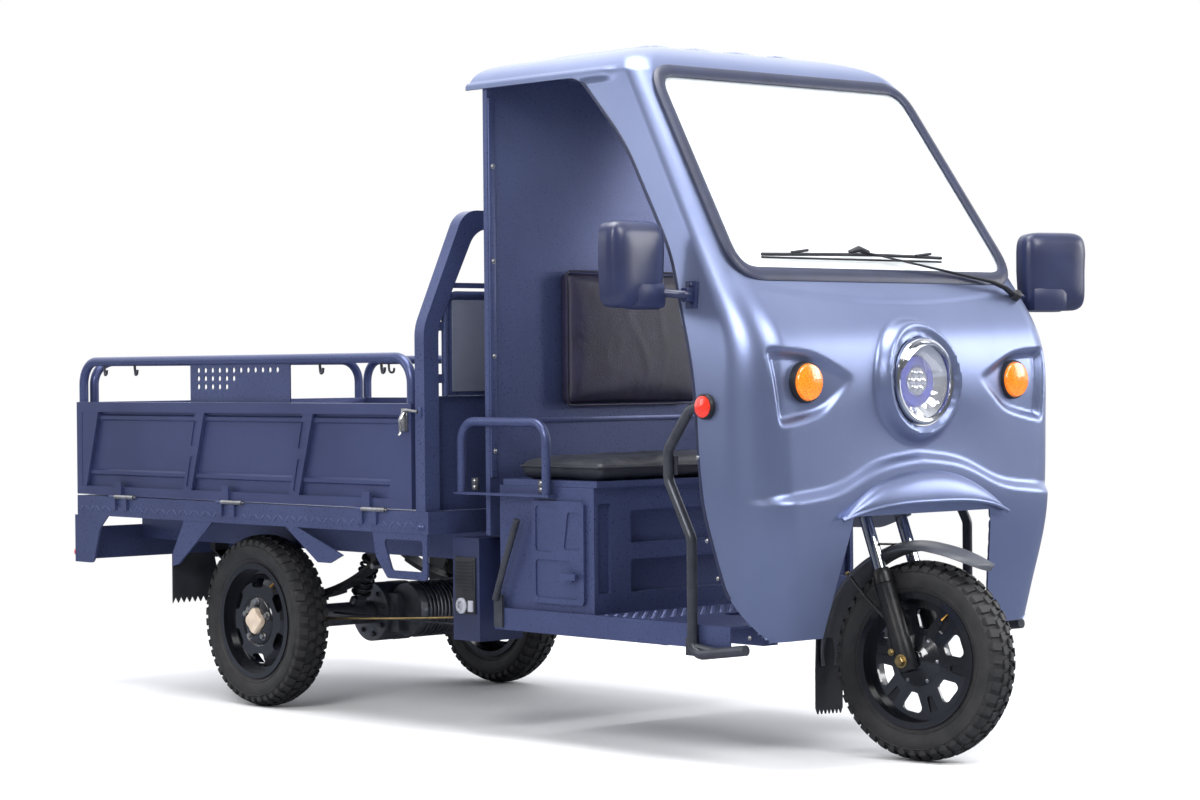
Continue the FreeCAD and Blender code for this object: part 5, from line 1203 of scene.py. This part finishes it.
def buildMudguard():
    # crowned guard with a pointed tip, on the axle's level; the flap hangs from its rear edge
    m = mudguard
    across = forkAxis(0, 1, 0).normalized()
    level = across.cross(Vector((0, 0, 1))).normalized()
    centre = Vector(joints["front_wheel_spin"]["pos_m"])
    points, faces = [], []
    steps, width = 72, 16
    for i in range(steps + 1):
        angle = math.radians(m["front"] + (m["rear"] - m["front"]) * i / steps)
        tip = min(1.0, (i / steps * (m["rear"] - m["front"])) / 17)
        half = m["half"] * (0.08 + 0.92 * math.sqrt(tip * (2 - tip)))
        out = level * math.cos(angle) + Vector((0, 0, math.sin(angle)))
        for k in range(width + 1):
            share = -1 + 2 * k / width
            bulge = m["crown"] * (abs(share) ** 2.4) - 5 * math.exp(-(share / 0.22) ** 2)
            lip = 3 if abs(share) == 1 else 0
            flare = m["flare"] * max(0, 1 - (i / steps) * 4.5) ** 1.6
            points.append(centre + (out * (m["radius"] + 2 + flare - bulge - lip) + across * (half * share)) / 1000)
    row = width + 1
    for i in range(steps):
        for k in range(width):
            a = i * row + k
            faces.append((a, a + 1, a + row + 1, a + row))
    piece = makePiece("mudguard", points, faces, "guard", "steering", "black_plastic", sharp=60)
    flipOutwards(piece.data, centre)
    withModifiers(piece, ("SOLIDIFY", {"thickness": 0.003, "offset": -1.0}))
    piece.data.shade_smooth()
    piece.data.set_sharp_from_angle(angle=math.radians(50))
    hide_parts("front_mudguard")
    # rubber flap with a toothed lower edge, and the brackets that carry the guard
    back = centre - level * (m["radius"] - 1) / 1000
    line = [(-m["half"], 40), (m["half"], 40), (m["half"] + 4, -40), (m["half"] + 4, -m["flap"] + 14)]
    for n in range(m["teeth"] * 2 - 1):
        y = (m["half"] + 4) * (1 - (n + 1) / m["teeth"])
        line.append((y, -m["flap"] + (14 if n % 2 else -2)))
    line += [(-m["half"] - 4, -m["flap"] + 14), (-m["half"] - 4, -40)]
    sheet = []
    for dx in (-2, 2):
        sheet += [back + (across * y + level * dx) / 1000 + Vector((0, 0, z / 1000)) for y, z in line]
    count = len(line)
    edges = [(k, (k + 1) % count, (k + 1) % count + count, k + count) for k in range(count)]
    makePiece("guardFlap", sheet, [tuple(range(count)), tuple(range(count, 2 * count))[::-1]] + edges, "flap",
              "steering", "seal_rubber", sharp=20)
    reach = fork["leg"] - 15
    top = centre + Vector((0, 0, (m["radius"] - 6) / 1000)) - level * 0.1
    arms = [slab(top, (30, 2 * reach, 5), Matrix((level, across, Vector((0, 0, 1)))).transposed(), 1)]
    makePiece("guardBridge", *joinParts(arms), "spring", "steering", "black_paint")
    print("mudguard made")


def buildControls():
    parts, grips, lever = [], [], []
    for side in (-1, 1):
        start, end = (-30, side * 185, 895), (-118, side * 335, 905)
        along = (Vector(end) - Vector(start)).normalized()
        direction = forkAxis(*along)
        base = Vector(end) - along * 118
        # a ribbed rubber grip between two flanges
        profile = [(0, 11.5), (0, 21), (4, 21), (5, 16.5)]
        for n in range(13):
            profile += [(8 + 8 * n, 16.8), (10 + 8 * n, 17.9), (13 + 8 * n, 17.9), (15 + 8 * n, 16.8)]
        profile += [(114, 18), (118, 17), (120, 12), (120, 0.3)]
        grips.append(lathe(profile, forkPoint(*base), direction, 36))
        house = Vector(end) - along * 152
        parts.append(lathe(((0, 12), (0, 19), (3, 21), (27, 21), (30, 19), (30, 12)), forkPoint(*house), direction, 28))
        parts.append(slab(forkPoint(*(house + along * 12 + Vector((14, 0, 4)))), (30, 26, 24), None, 5))
        pivot = house + along * 6 + Vector((26, 0, 0))
        route = [pivot, pivot + along * 30 + Vector((16, 0, -3)), pivot + along * 90 + Vector((14, 0, -4)),
                 pivot + along * 140 + Vector((16, 0, -3))]
        lever.append(tube(smoothPath([forkPoint(*p) for p in route]), [7] * 6 + [6] * 6 + [5] * 6 + [7], 10, flat=0.6))
    # dash between the risers: clock housing
    parts.append(lathe(((0, 30), (0, 38), (22, 42), (30, 42), (34, 39), (34, 30)), forkPoint(10, 0, 862),
                       forkAxis(-0.35, 0, 1), 40))
    makePiece("gripSleeves", *joinParts(grips), "flap", "steering", "seal_rubber")
    makePiece("switchHousings", *joinParts(parts), "black", "steering", "black_plastic")
    makePiece("brakeLevers", *joinParts(lever), "cast", "steering", "cast_aluminium")
    dial = lathe(((30, 39), (33, 36), (34, 0.3)), forkPoint(10, 0, 862), forkAxis(-0.35, 0, 1), 40)
    makePiece("clockGlass", *dial, "lampGlass", "steering", "lamp_glass")
    print("controls dressed")


def buildHubs():
    for body, tyre in tyres.items():
        place = wheelFrame(tyre["joint"])
        bolts, cap, plate = [], [], []
        front = body == "front_wheel"
        sides = (-1, 1) if front else ((-1,) if body.endswith("right") else (1,))
        for side in sides:
            out = (0, side, 0)
            if front:
                cap.append(lathe(((30, 30), (43, 26), (48, 20), (49, 12)), (0, 0, 0), out, 36))
                for k in range(6):
                    a = math.pi / 3 * k + math.pi / 6
                    spot = Vector((54 * math.sin(a), side * 28, 54 * math.cos(a))) / 1000
                    bolts.append(domeBolt(spot, out, 5))
                continue
            reach = 33
            plate.append(lathe(((12, 74), (24, 73), (30, 69), (33, 64), (33, 20)), (0, 0, 0), out, 60))
            for k in range(5):
                a = 2 * math.pi * k / 5
                spot = Vector((55 * math.sin(a), side * reach, 55 * math.cos(a))) / 1000
                bolts.append(nut(spot, out, 17, 10))
            # a four-lobed cap over the bearing
            points, faces = [], []
            layers = ((reach - 2, 1.0), (reach + 12, 1.0), (reach + 17, 0.9), (reach + 19, 0.6), (reach + 19, 0.02))
            for level, scale in layers:
                for k in range(48):
                    a = 2 * math.pi * k / 48
                    r = (34 + 4.0 * math.cos(4 * a)) * scale
                    points.append(Vector((r * math.sin(a), side * level, r * math.cos(a))) / 1000)
            for i in range(len(layers) - 1):
                for k in range(48):
                    j = (k + 1) % 48
                    faces.append((i * 48 + k, i * 48 + j, (i + 1) * 48 + j, (i + 1) * 48 + k))
            cap.append((points, faces))
        makePiece("hubBolts_" + body, *moved(joinParts(bolts), place), "zinc", body, "steel_spring")
        makePiece("hubCap_" + body, *moved(joinParts(cap), place), "rim" if front else "cap", body, "black_paint")
        if plate:
            makePiece("hubPlate_" + body, *moved(joinParts(plate), place), "rim", body, "black_paint")
        # valve through the rim
        side = sides[0]
        a = 0.6
        valve = []
        foot = Vector((150 * math.sin(a), side * 18, 150 * math.cos(a))) / 1000
        inward = Vector((-math.sin(a), side * 0.55, -math.cos(a)))
        valve.append(lathe(((-6, 5), (6, 5), (8, 3), (24, 3), (25, 4), (32, 4), (33, 0.3)), foot, inward, 12))
        makePiece("valve_" + body, *moved(joinParts(valve), place), "valve", body, "steel_spring")
    print("hubs dressed")


bed = {"rear": -824, "front": 920, "half": 568, "skirt": 540}


def chequer(size=13, tall=1.2):
    # one lens-shaped lug
    points, faces = [], []
    for share, up in ((1, 0), (0.72, 1), (0.3, 1.15)):
        for k in range(10):
            a = 2 * math.pi * k / 10
            wide = math.copysign(abs(math.cos(a)) ** 1.0, math.cos(a)) * size / 2 * share
            points.append(Vector((wide, size * 0.17 * math.sin(a) * share, tall * up)) / 1000)
    for i in range(2):
        for k in range(10):
            j = (k + 1) % 10
            faces.append((i * 10 + k, i * 10 + j, (i + 1) * 10 + j, (i + 1) * 10 + k))
    faces.append(tuple(range(20, 30)))
    return points, faces


def chequerField(width, depth, pitch, size, finish, frameOf):
    # lugs set at right angles to their neighbours; frameOf places the field, x along and y across
    parts = []
    columns, rows = int(width / pitch), int(depth / pitch)
    for row in range(rows):
        for lean in (0, 1):
            turned = Matrix.Rotation(math.radians(45 + 90 * lean), 4, "Z")
            start = Vector((pitch * (0.5 + (row + lean) % 2), pitch * (row + 0.5), 0)) / 1000
            unit = moved(moved(chequer(size), turned), Matrix.Translation(start))
            parts.append(repeated(unit, (columns - (row + lean) % 2 + 1) // 2, finish, step=(2 * pitch / 1000, 0, 0)))
    return moved(joinParts(parts), frameOf)


def buildChequer():
    b = bed
    for side in (-1, 1):
        across = Matrix((Vector((1, 0, 0)), Vector((0, 0, 1)), Vector((0, -1, 0)))).transposed().to_4x4()
        if side > 0:
            across = Matrix((Vector((-1, 0, 0)), Vector((0, 0, 1)), Vector((0, 1, 0)))).transposed().to_4x4()
        start = at(b["rear"] + 12 if side < 0 else b["front"] - 12, side * b["half"], b["skirt"] + 4)
        field = chequerField(b["front"] - b["rear"] - 24, 44, 30, 27, "frame", Matrix.Translation(start) @ across)
        makePiece("skirtChequer_" + ("right" if side < 0 else "left"), *field, "frame", "chassis", "frame_paint",
                  fix=False)
    place = Matrix.Translation(at(1500, -470, 351))
    pan = chequerField(180, 940, 17, 16, "frame", place)
    makePiece("floorChequer", *pan, "frame", "chassis", "frame_paint", fix=False)
    print("chequer plates made")


def buildBedFittings():
    b = bed
    bolts, latches, zinc = [], [], []
    for side in (-1, 1):
        face = side * (b["half"] + 0.8)
        for x in (884, 896):
            bolts.append(domeBolt(at(x, face, 556), (0, side, 0), 6))
        hooks = []
        for x in (-690, -520, 420, 700):
            y = side * (b["half"] - 17)
            hook = [at(x, y, 998), at(x + 3, y, 976), at(x + 10, y + side * 3, 969), at(x + 20, y + side * 5, 972),
                    at(x + 23, y + side * 5, 984)]
            hooks.append(tube(smoothPath(hook), 4, 8))
        makePiece("ropeHooks_" + ("right" if side < 0 else "left"), *joinParts(hooks), "tube",
                  "side_right" if side < 0 else "side_left", "black_paint")
        # zinc sleeves over the three knuckles of each hinge, and the pin's head
        word = "side_right" if side < 0 else "side_left"
        moving = []
        for x in (-598, -31, 640):
            for k in range(3):
                sleeve = lathe(((0.5, 5.2), (0.5, 6.6), (33.5, 6.6), (33.5, 5.2)), at(x + 34 * k, side * 574, 598),
                               (1, 0, 0), 20)
                (moving if k == 1 else zinc).append(sleeve)
            zinc.append(lathe(((-5, 0.3), (-4, 5), (0, 6.4), (0, 3)), at(x, side * 574, 598), (1, 0, 0), 16))
            zinc.append(lathe(((0, 3), (0, 4), (7, 4), (8, 0.3)), at(x + 102, side * 574, 598), (1, 0, 0), 12))
        makePiece("hingeSleeves_" + word, *joinParts(moving), "zinc", word, "steel_spring")
        # over-centre latch at the panel's front end
        y = side * (b["half"] + 2)
        latch = [slab(at(826, y, 842), (26, 6, 62), None, 2),
                 tube(smoothPath([at(830, y + side * 6, 866), at(846, y + side * 8, 868), at(868, y + side * 6, 866),
                                  at(884, y + side * 3, 864)]), 4, 8),
                 tube(smoothPath([at(826, y + side * 5, 862), at(824, y + side * 15, 842), at(824, y + side * 14, 812),
                                  at(824, y + side * 20, 800)]), [7] * 7 + [6] * 6 + [5] * 6, 8, flat=0.5)]
        makePiece("latch_" + word, *joinParts(latch), "zinc", word, "steel_spring")
        latches.append(slab(at(892, side * (b["half"] - 2), 862), (10, 14, 30), None, 2))
    makePiece("bedBolts", *joinParts(bolts + latches), "frame", "chassis", "frame_paint")
    makePiece("hingePins", *joinParts(zinc), "zinc", "chassis", "steel_spring")
    # tailgate catches
    catches = []
    for side in (-1, 1):
        y = side * 512
        catches.append(slab(at(-829, y, 846), (8, 54, 22), None, 2))
        catches.append(tube(smoothPath([at(-836, y - side * 20, 846), at(-842, y - side * 20, 838),
                                        at(-843, y - side * 18, 812)]), 5, 8, flat=0.6))
    makePiece("gateCatches", *joinParts(catches), "zinc", "tailgate", "steel_spring")
    print("bed fittings made")


def coil(start, direction, radius, wire, turns, length, steps=20):
    side, up, along = axes(direction)
    path = []
    for i in range(int(turns * steps) + 1):
        a = 2 * math.pi * i / steps
        share = i / (turns * steps)
        path.append(Vector(start) + (along * (length * share) + side * (radius * math.cos(a))
                                     + up * (radius * math.sin(a))) / 1000)
    return tube(path, wire, 8)


def buildSuspension():
    coils, rods, bolts = [], [], []
    for side in (-1, 1):
        low, high = at(206, side * 262, 306), at(282, side * 262, 452)
        way = high - low
        reach = way.length * 1000
        coils.append(coil(low + way * 0.16, way, 25, 4.5, 6, reach * 0.68))
        rods.append(lathe(((0, 13), (reach * 0.14, 13), (reach * 0.16, 29), (reach * 0.18, 29), (reach * 0.2, 20),
                           (reach * 0.55, 20), (reach * 0.56, 9), (reach * 0.82, 9), (reach * 0.84, 29),
                           (reach * 0.87, 29), (reach * 0.89, 13), (reach, 13)), low, way, 28))
        for end in (low, high):
            rods.append(lathe(((-18, 6), (-18, 16), (18, 16), (18, 6)), end, (0, 1, 0), 24))
            bolts.append(nut(end + Vector((0, side * 0.018, 0)), (0, side, 0), 18, 9))
        # U-bolts hold the leaves to the axle pad
        for x in (-26, 26):
            y = side * 330
            loop = [at(x, y - 32, 252), at(x, y - 32, 330), at(x, y - 24, 340), at(x, y + 24, 340), at(x, y + 32, 330),
                    at(x, y + 32, 252)]
            bolts.append(tube(smoothPath(loop, 4), 5, 8))
        for x in (-400, 400):
            bolts.append(lathe(((-30, 0.3), (-30, 8), (30, 8), (30, 0.3)), at(x, side * 330, 420), (0, 1, 0), 16))
    makePiece("damperCoils", *joinParts(coils), "rim", "chassis", "black_paint")
    makePiece("damperBodies", *joinParts(rods), "axleBlack", "chassis", "black_paint")
    makePiece("springBolts", *joinParts(bolts), "zinc", "chassis", "steel_spring")
    # differential ribs and the motor's fins and end bell
    cast = []
    for k in range(8):
        a = 2 * math.pi * k / 8 + 0.2
        out = Vector((math.cos(a), 0, math.sin(a)))
        spin = Matrix((out, Vector((0, 1, 0)), Vector((-out.z, 0, out.x)))).transposed()
        cast.append(slab(at(0, 0, 250) + out * 0.078 + Vector((0, 0.04, 0)), (22, 60, 8), spin, 2))
        cast.append(nut(at(0, -64, 250) + out * 0.066, (0, -1, 0), 13, 7))
    for y in range(0, 180, 14):
        cast.append(lathe(((0, 78), (0, 84), (4, 84), (4, 78)), at(130, y, 262), (0, 1, 0), 48))
    cast.append(lathe(((188, 78), (196, 74), (204, 50), (206, 22), (214, 20), (214, 0.3)), at(130, 0, 262),
                      (0, 1, 0), 40))
    makePiece("driveCastings", *joinParts(cast), "cast", "chassis", "cast_aluminium")
    print("suspension dressed")


def buildBrakeRods():
    # from the lever on each back plate to a bracket on the frame's post
    rods, ends = [], []
    for side in (-1, 1):
        line = [at(82, side * 387, 258), at(420, side * 352, 272), at(1030, side * 317, 312)]
        rods.append(tube(smoothPath(line), 3.6, 8))
        ends.append(slab(at(44, side * 391, 256), (84, 7, 18), None, 2))
        ends.append(slab(at(1056, side * 317, 312), (8, 36, 44), None, 1))
        for p, x in ((line[0], -1), (line[-1], 1)):
            for z in (-0.006, 0.006):
                ends.append(slab(p + Vector((x * 0.012, 0, z)), (34, 14, 3), None, 0.5))
            ends.append(lathe(((-9, 4), (-9, 6), (9, 6), (9, 4)), p + Vector((x * 0.02, 0, 0)), (0, 0, 1), 12))
        ends.append(nut(at(150, side * 380.5, 261), (1, 0, 0), 11, 9))
    makePiece("brakeRods", *joinParts(rods), "brass", "chassis", "steel_spring")
    makePiece("rodClevises", *joinParts(ends), "brass", "chassis", "steel_spring")
    print("brake rods made")


def buildCabFittings():
    bolts, trims = [], []
    for side in (-1, 1):
        # screws along the shell's lower edge
        for x, z in ((2060, 330), (1990, 470), (1965, 560), (1952, 760)):
            bolts.append(domeBolt(at(x, side * (sideY(x, z) + 0.5), z), (0, side, 0), 4))
        # grab tube: foot plate, gussets and their bolts
        y = side * 506.5
        trims.append(slab(at(1856, y - side * 9, 296), (40, 5, 44), None, 1))
        trims.append(slab(at(1795, y - side * 10, 736), (30, 4, 46), None, 1))
        trims.append(tube(smoothPath([at(1868, y, 300), at(1960, y, 292), at(2052, y, 300)]), 8, 10))
        for z in (724, 748):
            bolts.append(domeBolt(at(1792, y + side * 2, z), (0, side, 0), 4))
        # armrest clamps on the seat box
        for x in (1020, 1290):
            trims.append(slab(at(x, side * 487, 672), (26, 6, 34), None, 1))
            bolts.append(domeBolt(at(x, side * 491, 680), (0, side, 0), 5))
            bolts.append(domeBolt(at(x, side * 491, 664), (0, side, 0), 5))
    low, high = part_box("cab_rear_wall")
    wallX = high.x * 1000 + middle
    # the wall's folded borders, a level joint and its bolts
    wall = [slab(at(wallX + 1.5, 0, 838), (5, 900, 14), None, 2)]
    for side in (-1, 1):
        wall.append(slab(at(wallX + 3, side * 471, 1190), (8, 20, 1000), None, 2))
        for z in (760, 1010, 1260, 1510):
            bolts.append(domeBolt(at(wallX + 8, side * 470, z), (1, 0, 0), 5))
    makePiece("wallSwages", *joinParts(wall), "frame", "chassis", "frame_paint")
    makePiece("cabBrackets", *joinParts(trims), "tube", "chassis", "black_paint")
    makePiece("cabScrews", *joinParts(bolts), "zinc", "chassis", "steel_spring")
    # charger box: rocker switch, socket with a hinged flap, cooling fins
    low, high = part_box("charger_box")
    x, y, z = high.x * 1000 + middle, low.y * 1000, (low.z + high.z) * 500
    box = [slab(at(x - 55, y - 2, z + 10), (84, 6, 150), None, 2)]
    for k in range(9):
        box.append(slab(at(x - 55, y - 5, z + 74 - 9 * k), (70, 5, 3), None, 0.6))
    makePiece("chargerGrille", *joinParts(box), "black", "chassis", "black_plastic")
    plug = [lathe(((0, 21), (5, 21), (7, 18), (7, 12), (2, 11), (2, 0.4)), at(x - 68, y - 4, z - 44), (0, -1, 0), 32),
            slab(at(x - 30, y - 5, z - 44), (20, 7, 30), None, 2)]
    makePiece("chargerSocket", *joinParts(plug), "plug", "chassis", "black_plastic")
    guard = slab(at(900.6, 0, 1040), (5, 930, 246), None, 2)
    makePiece("guardPanel", *guard, "grey", "chassis", "black_plastic")
    print("cab fittings made")


setCamera()
setStage()
makeFinishes()
paintNodes()
buildShell()
buildDoorTrim()
buildVisor()
buildHeadlamp()
buildSignals()
buildScreen()
buildMirrors()
buildTyres()
buildHubs()
buildFork()
buildMudguard()
buildControls()
buildChequer()
buildBedFittings()
buildSuspension()
buildBrakeRods()
buildCabFittings()
buildSeat()
